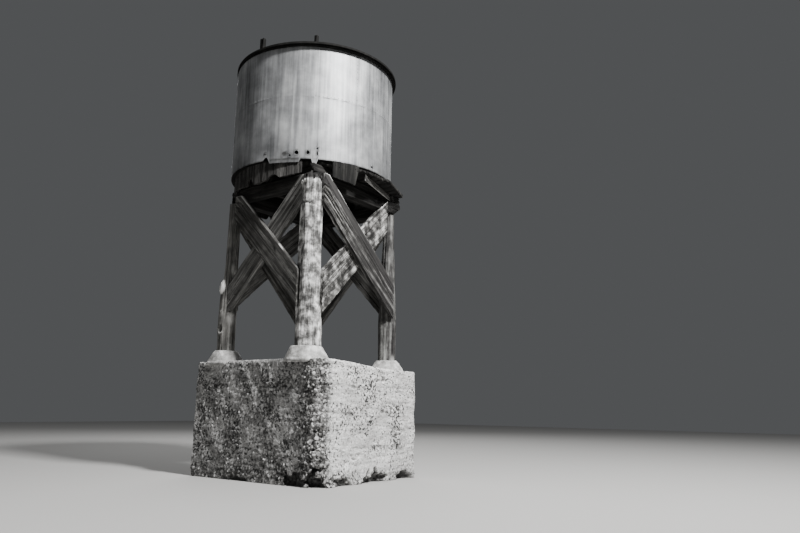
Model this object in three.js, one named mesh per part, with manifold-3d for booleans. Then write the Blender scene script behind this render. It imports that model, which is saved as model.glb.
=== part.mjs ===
// Old timber water tower: a sheet steel tank on a round plank deck, carried by four log posts
// that are braced by crossed planks and stand on a rough concrete block.
// Millimetres, +Z up. The origin is the middle of the block's underside, at ground level.
// +X is the right-hand face and -Y the left-hand face of the corner that looks at the viewer.

import * as THREE from 'three';
import { mergeVertices } from 'three/addons/utils/BufferGeometryUtils.js';
import Module from 'manifold-3d';

const wasm = await Module();
wasm.setup();

// Driving dimensions
const gap = 0.3;
const block = { width: 2483, depth: 2030, wornCorner: 50, column: 105 };
const swell = { depth: 5, across: 108, up: 92, skew: 1.3, phase: 1.3, phaseUp: 0.5 };
const ripple = { depth: 4, across: 61, up: 83 };
const chips = { depth: 52, reach: 170, up: 74 };
const wallMean = 4;
const pad = { radius: 285, height: 188, edge: 12, sink: 85, lipRadius: 222, overhang: 0.6 };
const postSpacing = { x: 802, y: 852 };
const postSides = 24;
const postRings = 16;
const beam = { width: 180, height: 180, bottom: 3930, cornerReach: 1240 };
const beamEnds = { frontLeft: -800, backLeft: -816, leftNear: -930, rightFar: 1015 };
const rottenEnd = { tilt: -52, y: 988, z: 4028 };
const tornFace = { fromX: -850, toX: [-217, -31], lowY: [-828, -925], highY: [-925, -955] };
const faceSetOut = 105;
const braceThickness = 75;
const joist = { width: 90, height: 130 };
const deck = { radius: 1174.5, thickness: 56, sides: 72 };
const skirt = { thickness: 40, drop: 306, segments: 10, clearance: 0.15 };
const tank = { radius: 1220, wall: 5, height: 1694, x: -29, y: -33, sides: 96 };
const roof = { radius: 1251, rimWidth: 120, edge: 46, rise: 114, sheet: 6, x: 15, y: -48 };

// Levels that follow from them
const beamTop = beam.bottom + beam.height;
const joistTop = beamTop + joist.height;
const deckTop = joistTop + deck.thickness;
const tankBottom = deckTop + gap;
const tankTop = deckTop + tank.height;
const roofBottom = tankTop + gap;
const postFoot = 1500;

// How far a cutting solid reaches past what it cuts
const past = 20;

// The block's top, as distance from front to back and level: its back half has sunk
const blockTop = [
  [-block.depth / 2, 1582],
  [-426, 1548],
  [136, 1503],
  [block.depth / 2, 1490],
];

// Hollows washed out of the block's foot: where on its outline, half their length, and their height and depth
const hollows = [
  { x: 860, y: -1015, reach: 190, height: 150, depth: 95 },
  { x: 1180, y: -1015, reach: 170, height: 170, depth: 120 },
  { x: 1241, y: -560, reach: 150, height: 90, depth: 60 },
  { x: 1241, y: 80, reach: 230, height: 130, depth: 110 },
  { x: 1241, y: 760, reach: 160, height: 120, depth: 90 },
  { x: -300, y: -1015, reach: 260, height: 80, depth: 50 },
  { x: 500, y: 1015, reach: 220, height: 120, depth: 80 },
  { x: -1241, y: -200, reach: 240, height: 110, depth: 80 },
];
const blockRows = [0, 60, 120, 200, 340, 510, 680, 850, 1020, 1190, 1360, 1530, 1700];

// Each post: its axis, its radius at levels up its length, and its top.
// The near post's outer edge stands up in front of the beams and has broken off at several levels.
const posts = [
  {
    name: 'near', x: 783, y: -866, top: 4101, turn: 0.4, padRun: { angle: 0.6, reach: 62 },
    broken: [[-200, -84, 3983], [8, 36, 3985], [36, 106, 4056], [106, 200, 3960]],
    radii: [[1500, 178], [1800, 172], [2200, 175], [2350, 160], [4000, 157]],
  },
  {
    name: 'left', x: -postSpacing.x, y: -postSpacing.y, top: beam.bottom, turn: 2.1,
    limb: { x: -80, y: -58, z: 2671, radius: 58, height: 112 },
    radii: [[1500, 135], [2000, 131], [2450, 118], [2900, 91], [4000, 86]],
  },
  {
    name: 'right', x: postSpacing.x, y: postSpacing.y, top: beam.bottom, turn: 3.7,
    radii: [[1500, 126], [2190, 138], [2700, 122], [3100, 104], [3500, 84], [4000, 80]],
  },
  {
    name: 'back', x: -postSpacing.x, y: postSpacing.y, top: beam.bottom, turn: 5.2,
    radii: [[1500, 150], [2500, 140], [4000, 118]],
  },
];

// A post's broken top is given across its width, as the tower's near corner shows it, with levels
const nearCornerTurn = 43.9;

// Each plank of a cross: where it starts and ends along its face, with the levels of its lower and
// upper corners, and the level at which its raised end is sawn off
const frontCross = {
  outer: {
    start: -618, startLow: 3624, startHigh: 4107,
    end: 745, endLow: 2248, endHigh: 2758,
    sawnLevel: 3984,
  },
  inner: {
    start: -756, startLow: 2246, startHigh: 2697,
    end: 708, endLow: 3715, endHigh: 4168,
    sawnLevel: 4104,
  },
};
const rightCross = {
  outer: {
    start: -838, startLow: 3683, startHigh: 4175,
    end: 789, endLow: 2272, endHigh: 2804,
    sawnLevel: 4104,
  },
  inner: {
    start: -722, startLow: 2178, startHigh: 2788,
    end: 700, endLow: 3591, endHigh: 4112,
    sawnLevel: 4100,
  },
};
const faces = [
  { name: 'front', turn: 0, setOut: postSpacing.y + faceSetOut, cross: frontCross },
  { name: 'right', turn: 90, setOut: postSpacing.x + faceSetOut, cross: rightCross },
  { name: 'back', turn: 180, setOut: postSpacing.y + faceSetOut, cross: frontCross },
  { name: 'left', turn: 270, setOut: postSpacing.x + faceSetOut, cross: rightCross },
];

// Seams between the skirt boards, in degrees round from the front face towards the right face, and
// the level of their foot where it is worn or cut. The boards on the right have gone, all but one.
const frontFoot = [
  [-42, 4040], [-18, 4030], [-11, 4003], [3.6, 3996], [10.5, 4031], [16.5, 4040], [27.5, 4071], [35, 4106],
];
const rightFoot = [[55, 4070], [65, 4023], [75, 3980]];
const skirtRuns = [
  { side: 'front', seams: [-42, -10, 16.5, 35], foot: frontFoot, lean: 0 },
  { side: 'right', seams: [55, 74.8], foot: rightFoot, lean: 3.5 },
  { side: 'back', seams: [146, 164.5, 190, 216], foot: [[0, 3990]], lean: 0 },
  { side: 'left', seams: [236, 258, 281, 304], foot: [[0, 3990]], lean: 0 },
];
const nailingPlank = { fromX: 1158, fromY: -165, toX: 824, toY: 927, thickness: 25, height: 105 };
const stubs = [
  { name: 'roof_stub_left', degrees: 1, width: 84, depth: 60, height: 182 },
  { name: 'roof_stub_right', degrees: 42, width: 42, depth: 40, height: 125 },
];

// Joists, by the place of their middle across the deck, with their near and far ends
const joists = [
  { x: -780, nearEnd: -832, farEnd: 955 },
  { x: -390, nearEnd: -930, farEnd: 950 },
  { x: 0, nearEnd: -945, farEnd: 940 },
  { x: 400, nearEnd: -935, farEnd: 950 },
  { x: 825, nearEnd: -950, farEnd: 1055 },
];

// Where the deck runs out past its circle, over the end of the last joist
const deckCorner = { from: 102, to: 144, edge: [[1190, 330], [925, 1052], [700, 1052]] };

const timber = { color: 0x8c8a85, roughness: 0.9, metalness: 0 };
const darkTimber = { color: 0x5f5d59, roughness: 0.92, metalness: 0 };
const concrete = { color: 0xb4b2ac, roughness: 0.95, metalness: 0 };
const sheetSteel = { color: 0xa9abac, roughness: 0.6, metalness: 0.4 };
const darkSteel = { color: 0x55534f, roughness: 0.7, metalness: 0.3 };

const tower = new THREE.Group();

function addMesh(parent, name, geometry, finish) {
  const mesh = new THREE.Mesh(geometry, new THREE.MeshStandardMaterial(finish));
  mesh.name = name;
  parent.add(mesh);
  return mesh;
}

// A solid for cutting, from a closed geometry
function toSolid(geometry) {
  const bare = geometry.clone();
  bare.deleteAttribute('normal');
  bare.deleteAttribute('uv');
  const merged = mergeVertices(bare, 0.001);
  const corners = merged.index.array;
  const kept = [];
  for (let i = 0; i < corners.length; i += 3) {
    const [a, b, c] = [corners[i], corners[i + 1], corners[i + 2]];
    if (a !== b && b !== c && c !== a) {
      kept.push(a, b, c);
    }
  }
  return new wasm.Manifold(new wasm.Mesh({
    numProp: 3,
    vertProperties: new Float32Array(merged.attributes.position.array),
    triVerts: new Uint32Array(kept),
  }));
}

function toGeometry(solid) {
  const { vertProperties, triVerts } = solid.getMesh();
  const geometry = new THREE.BufferGeometry();
  geometry.setAttribute('position', new THREE.BufferAttribute(vertProperties, 3));
  geometry.setIndex(new THREE.BufferAttribute(triVerts, 1));
  geometry.computeVertexNormals();
  return geometry;
}

// Cutters are given in the tower's frame, and the geometry in a frame moved to the position
function cutAway(geometry, cutters, position = new THREE.Vector3()) {
  let solid = toSolid(geometry);
  for (const cutter of cutters) {
    const moved = cutter.clone().translate(-position.x, -position.y, -position.z);
    solid = solid.subtract(toSolid(moved));
  }
  return toGeometry(solid);
}

function boxBetween(low, high) {
  const geometry = new THREE.BoxGeometry(high[0] - low[0], high[1] - low[1], high[2] - low[2]);
  geometry.translate((low[0] + high[0]) / 2, (low[1] + high[1]) / 2, (low[2] + high[2]) / 2);
  return geometry;
}

// A lathe turned about +Z, from pairs of radius and height
function turned(profile, sides) {
  const points = profile.map(([radius, height]) => new THREE.Vector2(radius, height));
  const geometry = new THREE.LatheGeometry(points, sides);
  geometry.rotateX(Math.PI / 2);
  return geometry;
}

// Value at a level, from pairs of level and value in rising order
function valueAt(pairs, level) {
  for (let i = 0; i + 1 < pairs.length; i += 1) {
    const [[low, from], [high, to]] = [pairs[i], pairs[i + 1]];
    if (level <= high) {
      return from + ((to - from) * (level - low)) / (high - low);
    }
  }
  return pairs[pairs.length - 1][1];
}

// A rough log about its own axis: it tapers, bows a little and isn't quite round
function logGeometry(post, grow = 0) {
  const profile = [[0, postFoot]];
  for (let ring = 0; ring <= postRings; ring += 1) {
    const level = postFoot + ((post.top - postFoot) * ring) / postRings;
    profile.push([valueAt(post.radii, level) + grow, level]);
  }
  profile.push([0, post.top]);
  const geometry = turned(profile, postSides);
  const place = geometry.attributes.position;
  for (let i = 0; i < place.count; i += 1) {
    const [x, y, z] = [place.getX(i), place.getY(i), place.getZ(i)];
    const around = Math.atan2(y, x);
    const up = (z - postFoot) / (post.top - postFoot);
    const twoLobed = 0.022 * Math.sin(2 * around + post.turn);
    const threeLobed = 0.014 * Math.sin(3 * around + post.turn + 4 * up);
    const oval = 1 + twoLobed + threeLobed;
    const bow = 9 * Math.sin(Math.PI * up);
    place.setXYZ(i, x * oval + bow * Math.cos(post.turn), y * oval + bow * Math.sin(post.turn), z);
  }
  return geometry;
}

// The log with the stub of its sawn-off limb, where it has one
function withLimb(post) {
  const log = logGeometry(post);
  if (!post.limb) {
    return log;
  }
  const { x, y, z, radius, height } = post.limb;
  const limb = new THREE.SphereGeometry(1, 16, 10).rotateX(Math.PI / 2).scale(radius, radius, height);
  return toGeometry(toSolid(log).add(toSolid(limb.translate(x, y, z))));
}

// What has broken off the top of a post
function brokenTop(post) {
  const reach = 2 * post.radii[0][1];
  return (post.broken ?? []).map(([from, to, level]) => {
    const cutter = boxBetween([from, -reach, level], [to, reach, post.top + past]);
    return cutter.rotateZ(THREE.MathUtils.degToRad(nearCornerTurn)).translate(post.x, post.y, 0);
  });
}

// A brace's outline in its face, made thicker all round by grow when it is a cutter
function braceGeometry(plank, grow = 0) {
  const { start, end, startHigh, endHigh, sawnLevel } = plank;
  const sawnAt = start + ((sawnLevel - startHigh) * (end - start)) / (endHigh - startHigh);
  const shape = new THREE.Shape();
  shape.moveTo(start - grow, plank.startLow - 1.5 * grow);
  shape.lineTo(end + grow, plank.endLow - 1.5 * grow);
  shape.lineTo(end + grow, Math.min(endHigh + 1.5 * grow, sawnLevel + grow));
  shape.lineTo(sawnAt, sawnLevel + grow);
  shape.lineTo(start - grow, Math.min(startHigh + 1.5 * grow, sawnLevel + grow));
  shape.closePath();
  const depth = braceThickness + 2 * grow;
  const geometry = new THREE.ExtrudeGeometry(shape, { depth, bevelEnabled: false });
  geometry.translate(0, 0, -grow);
  geometry.rotateX(Math.PI / 2);
  return geometry;
}

// Distance of a brace's inner face from the tower's axis
function braceSeat(face, layer) {
  return layer === 'inner' ? face.setOut - braceThickness : face.setOut + gap;
}

function braceCutter(face, layer) {
  const geometry = braceGeometry(face.cross[layer], gap);
  geometry.translate(0, -braceSeat(face, layer), 0);
  geometry.rotateZ(THREE.MathUtils.degToRad(face.turn));
  return geometry;
}

// A solid from one end of the block to the other, between two lines of [y, z] points
function acrossBlock(outline) {
  const shape = new THREE.Shape(outline.map(([y, z]) => new THREE.Vector2(y, z)));
  const geometry = new THREE.ExtrudeGeometry(shape, { depth: block.width + 2 * past, bevelEnabled: false });
  geometry.rotateX(Math.PI / 2);
  geometry.rotateZ(Math.PI / 2);
  geometry.translate(-block.width / 2 - past, 0, 0);
  return geometry;
}

// The block with its lumps, and a gap round it and on top, to shape what stands on it
function belowBlockTop() {
  const lifted = blockTop.map(([y, z]) => [y, z + gap]);
  const [front, back] = [lifted[0], lifted[lifted.length - 1]];
  const lumps = swell.depth + ripple.depth - wallMean + gap;
  return acrossBlock([
    [front[0] - lumps, 0],
    [back[0] + lumps, 0],
    [back[0] + lumps, back[1]],
    ...lifted.reverse(),
    [front[0] - lumps, front[1]],
  ]);
}

// Depth of the block's wall behind its outline: lumps, chips off the near corner and washed-out hollows
function wallDepth(x, y, z) {
  const slant = (x + swell.skew * y) / swell.across + swell.phase;
  const swelling = swell.depth * Math.sin(slant) * Math.sin(z / swell.up + swell.phaseUp);
  const rippling = ripple.depth * Math.sin((x - y) / ripple.across + z / ripple.up);
  const fromCorner = Math.hypot(x - block.width / 2, y + block.depth / 2) / chips.reach;
  const chipped = chips.depth * Math.exp(-fromCorner * fromCorner) * (0.5 + 0.5 * Math.sin(z / chips.up));
  let washed = 0;
  for (const hollow of hollows) {
    const along = Math.hypot(x - hollow.x, y - hollow.y) / hollow.reach;
    const up = z / hollow.height;
    washed = Math.max(washed, hollow.depth * Math.sqrt(Math.max(0, 1 - along * along - up * up)));
  }
  return wallMean + swelling + rippling + chipped + washed;
}

// Base block: rough walls all round, and a top that slopes down to the back
function addBlock() {
  const [halfX, halfY] = [block.width / 2, block.depth / 2];
  const outline = new THREE.Shape();
  outline.moveTo(halfX - block.wornCorner, -halfY);
  outline.lineTo(halfX, -halfY + block.wornCorner);
  outline.lineTo(halfX, halfY - block.wornCorner);
  outline.lineTo(halfX - block.wornCorner, halfY);
  outline.lineTo(-halfX + block.wornCorner, halfY);
  outline.lineTo(-halfX, halfY - block.wornCorner);
  outline.lineTo(-halfX, -halfY + block.wornCorner);
  outline.lineTo(-halfX + block.wornCorner, -halfY);
  outline.closePath();
  const around = outline.getSpacedPoints(Math.round(outline.getLength() / block.column)).slice(0, -1);
  const places = [];
  for (const z of blockRows) {
    for (const point of around) {
      const inward = 1 - wallDepth(point.x, point.y, z) / Math.max(Math.abs(point.x), Math.abs(point.y));
      places.push(point.x * inward, point.y * inward, z);
    }
  }
  const [count, bottom] = [around.length, blockRows.length * around.length];
  places.push(0, 0, 0, 0, 0, blockRows[blockRows.length - 1]);
  const corners = [];
  for (let i = 0; i < count; i += 1) {
    const next = (i + 1) % count;
    for (let row = 0; row + 1 < blockRows.length; row += 1) {
      const [a, b] = [row * count + i, row * count + next];
      corners.push(a, b, b + count, a, b + count, a + count);
    }
    corners.push(bottom, next, i, bottom + 1, bottom - count + i, bottom - count + next);
  }
  const geometry = new THREE.BufferGeometry();
  geometry.setAttribute('position', new THREE.Float32BufferAttribute(places, 3));
  geometry.setIndex(corners);
  const last = blockTop[blockTop.length - 1][1];
  const above = blockRows[blockRows.length - 1] + past;
  const sky = acrossBlock([
    [-halfY - past, blockTop[0][1]],
    ...blockTop,
    [halfY + past, last],
    [halfY + past, above],
    [-halfY - past, above],
  ]);
  addMesh(tower, 'base_block', cutAway(geometry, [sky]), concrete);
}

// Beams: the pair along Y laps over the pair along X at each corner
const lapLevel = beam.bottom + beam.height / 2;
const [outerY, outerX] = [faces[0].setOut, faces[1].setOut];
const beamBoxes = {
  front: [
    [beamEnds.frontLeft, -outerY, beam.bottom],
    [outerX, -outerY + beam.width, beamTop],
  ],
  back: [
    [beamEnds.backLeft, outerY - beam.width, beam.bottom],
    [outerX, outerY, beamTop],
  ],
  right: [
    [outerX - beam.width, -outerY, beam.bottom],
    [outerX, beamEnds.rightFar, beamTop],
  ],
  left: [
    [beamEnds.backLeft, beamEnds.leftNear, beam.bottom],
    [beamEnds.backLeft + beam.width, outerY, beamTop],
  ],
};

function grownBox([low, high], grow = gap) {
  return boxBetween(low.map((value) => value - grow), high.map((value) => value + grow));
}

function addBeams() {
  const innerBraces = faces.map((face) => braceCutter(face, 'inner'));
  const cutting = 2 * beam.width;
  const rotten = new THREE.BoxGeometry(cutting, cutting, cutting);
  rotten.translate(0, cutting / 2, 0).rotateX(THREE.MathUtils.degToRad(rottenEnd.tilt));
  rotten.translate(outerX - beam.width / 2, rottenEnd.y, rottenEnd.z);
  const corner = new THREE.BoxGeometry(cutting, 3 * cutting, cutting);
  corner.translate(beam.cornerReach + cutting / 2, 0, lapLevel).rotateZ(Math.atan2(-outerY, outerX));
  for (const [side, [low, high]] of Object.entries(beamBoxes)) {
    const alongX = side === 'front' || side === 'back';
    const crossing = alongX ? ['right', 'left'] : ['front', 'back'];
    const laps = crossing.map((other) => {
      const [otherLow, otherHigh] = beamBoxes[other];
      const from = [otherLow[0] - gap, otherLow[1] - gap, alongX ? lapLevel : beam.bottom - 1];
      const to = [otherHigh[0] + gap, otherHigh[1] + gap, alongX ? beamTop + 1 : lapLevel + gap];
      return boxBetween(from, to);
    });
    const cutters = [...laps, ...innerBraces, rotten, corner];
    if (side === 'front') {
      cutters.push(tornCutter());
    }
    addMesh(tower, `beam_${side}`, cutAway(boxBetween(low, high), cutters), darkTimber);
  }
}

// The front beam has lost a long splinter from its face, towards the left and mostly below
function tornCutter() {
  const { fromX, toX, lowY, highY } = tornFace;
  const geometry = boxBetween([fromX, -outerY - past, beam.bottom - past], [0, -outerY, beamTop + past]);
  const place = geometry.attributes.position;
  for (let i = 0; i < place.count; i += 1) {
    const [low, atLeft] = [place.getZ(i) < lapLevel, place.getX(i) < fromX / 2];
    const [leftY, rightY] = low ? lowY : highY;
    if (place.getY(i) > -outerY - past / 2) {
      place.setY(i, atLeft ? leftY : rightY);
    }
    if (!atLeft) {
      place.setX(i, low ? toX[0] : toX[1]);
    }
  }
  return geometry;
}

// Lets a pad run out further on one side
function spreadPad(dome, run) {
  const place = dome.attributes.position;
  const side = new THREE.Vector2(Math.cos(run.angle), Math.sin(run.angle));
  for (let i = 0; i < place.count; i += 1) {
    const out = new THREE.Vector2(place.getX(i), place.getY(i));
    const share = Math.max(0, out.dot(side) / pad.radius) ** 2;
    out.addScaledVector(side, run.reach * share);
    place.setXY(i, out.x, out.y);
  }
}

// Holds a pad back where it runs over the front or back edge of the block, so that it hugs the wall
function wrapEdge(dome, postY) {
  const place = dome.attributes.position;
  for (let i = 0; i < place.count; i += 1) {
    const y = place.getY(i) + postY;
    const over = Math.abs(y) - block.depth / 2;
    if (over > 0) {
      place.setY(i, Math.sign(y) * (block.depth / 2 + over * pad.overhang) - postY);
    }
  }
}

function addPosts() {
  const braceCutters = faces.flatMap((face) => [braceCutter(face, 'inner'), braceCutter(face, 'outer')]);
  const [reachX, reachY] = [outerX + gap, outerY + gap];
  const seat = boxBetween([-reachX, -reachY, beam.bottom - gap], [reachX, reachY, beamTop]);
  const ground = belowBlockTop();
  for (const post of posts) {
    const position = new THREE.Vector3(post.x, post.y, 0);
    const cutters = [ground, seat, ...braceCutters, ...brokenTop(post)];
    const log = cutAway(withLimb(post), cutters, position);
    addMesh(tower, `post_${post.name}`, log, timber).position.copy(position);

    const level = valueAt(blockTop, post.y);
    const dome = turned([
      [0, -pad.sink],
      [pad.lipRadius, -pad.sink],
      [pad.radius, pad.edge],
      [pad.radius * 0.9, pad.height * 0.3],
      [pad.radius * 0.8, pad.height * 0.56],
      [pad.radius * 0.7, pad.height * 0.8],
      [pad.radius * 0.56, pad.height],
      [0, pad.height],
    ], postSides);
    if (post.padRun) {
      spreadPad(dome, post.padRun);
    }
    wrapEdge(dome, post.y);
    dome.translate(0, 0, level);
    const hole = logGeometry(post, 2 * gap).translate(post.x, post.y, 0);
    const mortar = cutAway(dome, [ground, hole], position);
    addMesh(tower, `pad_${post.name}`, mortar, concrete).position.copy(position);
  }
}

function addBraces() {
  for (const face of faces) {
    const group = new THREE.Group();
    group.rotation.z = THREE.MathUtils.degToRad(face.turn);
    tower.add(group);
    for (const layer of ['outer', 'inner']) {
      const mesh = addMesh(group, `brace_${face.name}_${layer}`, braceGeometry(face.cross[layer]), timber);
      mesh.position.y = -braceSeat(face, layer);
    }
  }
}

// The nailing plank, or the room that it takes up when it is grown
function nailingPlankGeometry(grow = 0) {
  const { fromX, fromY, toX, toY, thickness, height } = nailingPlank;
  const run = new THREE.Vector2(toX - fromX, toY - fromY);
  const geometry = boxBetween([-grow, -grow, -height - grow], [run.length() + grow, thickness + grow, grow]);
  return geometry.rotateZ(run.angle()).translate(fromX, fromY, joistTop);
}

function addJoists() {
  joists.forEach(({ x, nearEnd, farEnd }, i) => {
    const [left, right] = [x - joist.width / 2, x + joist.width / 2];
    const whole = boxBetween([left, nearEnd, beamTop + gap], [right, farEnd, joistTop]);
    addMesh(tower, `joist_${i + 1}`, cutAway(whole, [nailingPlankGeometry(gap)]), darkTimber);
  });
}

// Round plank deck, square at the one corner where it runs out over the last joist
function addDeck() {
  const outline = deckCorner.edge.map(([x, y]) => new THREE.Vector2(x, y));
  const round = 360 - (deckCorner.to - deckCorner.from);
  const steps = Math.round((deck.sides * round) / 360);
  for (let i = 0; i <= steps; i += 1) {
    const angle = THREE.MathUtils.degToRad(deckCorner.to + (round * i) / steps - 90);
    outline.push(new THREE.Vector2(deck.radius * Math.cos(angle), deck.radius * Math.sin(angle)));
  }
  const options = { depth: deck.thickness - gap, bevelEnabled: false };
  const geometry = new THREE.ExtrudeGeometry(new THREE.Shape(outline), options);
  addMesh(tower, 'deck', geometry, darkTimber).position.z = joistTop + gap;
}

// A curved board between two angles round the deck
function arcBoard(fromDegrees, toDegrees, innerRadius, thickness, height) {
  const from = THREE.MathUtils.degToRad(fromDegrees - 90);
  const to = THREE.MathUtils.degToRad(toDegrees - 90);
  const shape = new THREE.Shape();
  shape.absarc(0, 0, innerRadius + thickness, from, to, false);
  shape.absarc(0, 0, innerRadius, to, from, true);
  shape.closePath();
  const options = { depth: height, bevelEnabled: false, curveSegments: skirt.segments };
  return new THREE.ExtrudeGeometry(shape, options);
}

// Brings a board's foot to its level, and lets its right-hand edge lean inwards below
function wearFoot(board, run, fromDegrees, toDegrees) {
  const place = board.attributes.position;
  for (let i = 0; i < place.count; i += 1) {
    const [x, y] = [place.getX(i), place.getY(i)];
    if (place.getZ(i) < skirt.drop / 2) {
      const degrees = (THREE.MathUtils.radToDeg(Math.atan2(x, -y)) + 360 - run.seams[0]) % 360 + run.seams[0];
      const leaning = (run.lean * (degrees - fromDegrees)) / (toDegrees - fromDegrees);
      const angle = THREE.MathUtils.degToRad(degrees - leaning - 90);
      const level = valueAt(run.foot, degrees) - deckTop + skirt.drop;
      place.setXYZ(i, Math.hypot(x, y) * Math.cos(angle), Math.hypot(x, y) * Math.sin(angle), level);
    }
  }
}

function addSkirt() {
  const beamCutters = Object.values(beamBoxes).map((box) => grownBox(box));
  const braceCutters = faces.flatMap((face) => [braceCutter(face, 'inner'), braceCutter(face, 'outer')]);
  const seam = 0.15;
  for (const run of skirtRuns) {
    for (let i = 0; i + 1 < run.seams.length; i += 1) {
      const position = new THREE.Vector3(0, 0, deckTop - skirt.drop);
      const [from, to] = [run.seams[i] + seam, run.seams[i + 1] - seam];
      const innerRadius = deck.radius + gap + run.lean * skirt.clearance;
      const board = arcBoard(from, to, innerRadius, skirt.thickness, skirt.drop);
      wearFoot(board, run, from, to);
      const cut = cutAway(board, [...beamCutters, ...braceCutters], position);
      addMesh(tower, `skirt_board_${run.side}_${i + 1}`, cut, timber).position.copy(position);
    }
  }
  addMesh(tower, 'nailing_plank', nailingPlankGeometry(), timber);
}

function addTank() {
  const { radius, wall, sides } = tank;
  const floorRadius = radius - wall - gap;
  const floor = turned([[0, 0], [floorRadius, 0], [floorRadius, wall], [0, wall]], sides);
  addMesh(tower, 'tank_floor', floor, sheetSteel).position.set(tank.x, tank.y, tankBottom);

  const height = tankTop - tankBottom;
  const inner = radius - wall;
  const shell = turned([[inner, 0], [radius, 0], [radius, height], [inner, height], [inner, 0]], sides);
  addMesh(tower, 'tank_shell', shell, sheetSteel).position.set(tank.x, tank.y, tankBottom);
}

// Low cone with a flat, folded rim that rests on the top of the tank
function addRoof() {
  const { radius, rimWidth, edge, rise, sheet } = roof;
  const inner = radius - rimWidth;
  const cone = turned([
    [0, edge + rise - sheet],
    [inner, edge - sheet],
    [inner, 0],
    [radius, 0],
    [radius, edge],
    [inner, edge],
    [0, edge + rise],
  ], tank.sides);
  addMesh(tower, 'tank_roof', cone, darkSteel).position.set(roof.x, roof.y, roofBottom);
  const standingRadius = radius - rimWidth / 2;
  for (const stub of stubs) {
    const angle = THREE.MathUtils.degToRad(stub.degrees - 90);
    const geometry = new THREE.BoxGeometry(stub.depth, stub.width, stub.height);
    const mesh = addMesh(tower, stub.name, geometry, darkSteel);
    const [x, y] = [standingRadius * Math.cos(angle), standingRadius * Math.sin(angle)];
    mesh.position.set(roof.x + x, roof.y + y, roofBottom + edge + gap + stub.height / 2);
    mesh.rotation.z = angle;
  }
}

addBlock();
addPosts();
addBraces();
addBeams();
addJoists();
addDeck();
addSkirt();
addTank();
addRoof();

export default tower;
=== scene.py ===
import math

import bmesh
import bpy
import numpy as np
from mathutils import Matrix, Quaternion, Vector


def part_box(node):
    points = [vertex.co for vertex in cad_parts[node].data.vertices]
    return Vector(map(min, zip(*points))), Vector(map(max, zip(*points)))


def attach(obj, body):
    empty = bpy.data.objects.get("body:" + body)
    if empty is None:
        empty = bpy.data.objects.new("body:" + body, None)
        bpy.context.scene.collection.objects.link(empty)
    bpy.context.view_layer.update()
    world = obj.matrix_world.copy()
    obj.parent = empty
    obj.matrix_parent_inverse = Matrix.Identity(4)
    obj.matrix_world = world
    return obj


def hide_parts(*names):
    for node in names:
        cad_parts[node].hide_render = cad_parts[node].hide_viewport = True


# Looks of the old timber water tower: weathered logs, planks and sheet steel on a rough concrete block.
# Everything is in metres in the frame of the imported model. +X is the right-hand face, -Y the left-hand one.

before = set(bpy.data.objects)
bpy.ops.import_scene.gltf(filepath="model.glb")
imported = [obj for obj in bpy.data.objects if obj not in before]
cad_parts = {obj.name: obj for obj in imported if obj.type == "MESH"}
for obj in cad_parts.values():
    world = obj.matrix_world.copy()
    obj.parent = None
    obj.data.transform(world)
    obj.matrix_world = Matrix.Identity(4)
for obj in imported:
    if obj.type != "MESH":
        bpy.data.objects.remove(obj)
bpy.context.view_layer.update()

print("Camera, floor and lights")
cameraValues = {
    "place": (6.984, -7.262, 0.967),
    "aim": (1.196, 0.630, 3.022),
    "roll": 0.77,  # degrees
    "lens": 30.35,
    "sensor": 36.0,
}


def newObject(name, data):
    made = bpy.data.objects.new(name, data)
    bpy.context.scene.collection.objects.link(made)
    return made


camera = newObject("camera", bpy.data.cameras.new("camera"))
camera.data.lens = cameraValues["lens"]
camera.data.sensor_width = cameraValues["sensor"]
camera.location = cameraValues["place"]
lookAlong = Vector(cameraValues["aim"]) - Vector(cameraValues["place"])
cameraRoll = Quaternion((0, 0, 1), math.radians(cameraValues["roll"]))
camera.rotation_mode = "QUATERNION"
camera.rotation_quaternion = lookAlong.to_track_quat("-Z", "Y") @ cameraRoll
bpy.context.scene.camera = camera


# sRGB hex colour to linear, as Blender's sockets want it
def hexColour(code):
    parts = [int(code[i:i + 2], 16) / 255 for i in (0, 2, 4)]
    return [p / 12.92 if p <= 0.04045 else ((p + 0.055) / 1.055) ** 2.4 for p in parts] + [1.0]


# One node with its settings, and its inputs as values or links. Ramp stops are (place, hex colour).
def addNode(tree, kind, inputs={}, stops=None, **settings):
    node = tree.nodes.new(kind)
    for name, value in settings.items():
        setattr(node, name, value)
    for socket, value in inputs.items():
        if isinstance(value, bpy.types.NodeSocket):
            tree.links.new(value, node.inputs[socket])
        else:
            node.inputs[socket].default_value = value
    if stops:
        ramp = node.color_ramp
        while len(ramp.elements) < len(stops):
            ramp.elements.new(0.5)
        for element, (place, code) in zip(ramp.elements, stops):
            element.position = place
            element.color = hexColour(code)
    return node


def newMaterial(name):
    material = bpy.data.materials.new(name)
    material.use_nodes = True
    material.node_tree.nodes.clear()
    return material, material.node_tree


lightValues = {
    # azimuth and height in degrees, azimuth from the front (-Y) towards the right (+X)
    "sun": {"azimuth": 78, "height": 46, "size": 1.6, "power": 6000},
    "fill": {"azimuth": -10, "height": 24, "size": 9.0, "power": 90},
    "back": {"azimuth": 225, "height": 38, "size": 9.0, "power": 1100},
    "distance": 14,
    "middle": (0, 0, 2.8),  # what all three point at
    "surroundings": ("d6d9dc", 0.13),  # colour and strength
    "floor": ("a3a2a0", 60.0),  # colour and width
}


def addLight(name, values):
    light = bpy.data.lights.new(name, "AREA")
    light.energy = values["power"]
    light.size = values["size"]
    lamp = newObject(name, light)
    around, up = math.radians(values["azimuth"]), math.radians(values["height"])
    out = Vector((math.sin(around) * math.cos(up), -math.cos(around) * math.cos(up), math.sin(up)))
    lamp.location = Vector(lightValues["middle"]) + out * lightValues["distance"]
    lamp.rotation_mode = "QUATERNION"
    lamp.rotation_quaternion = out.to_track_quat("Z", "Y")


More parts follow.
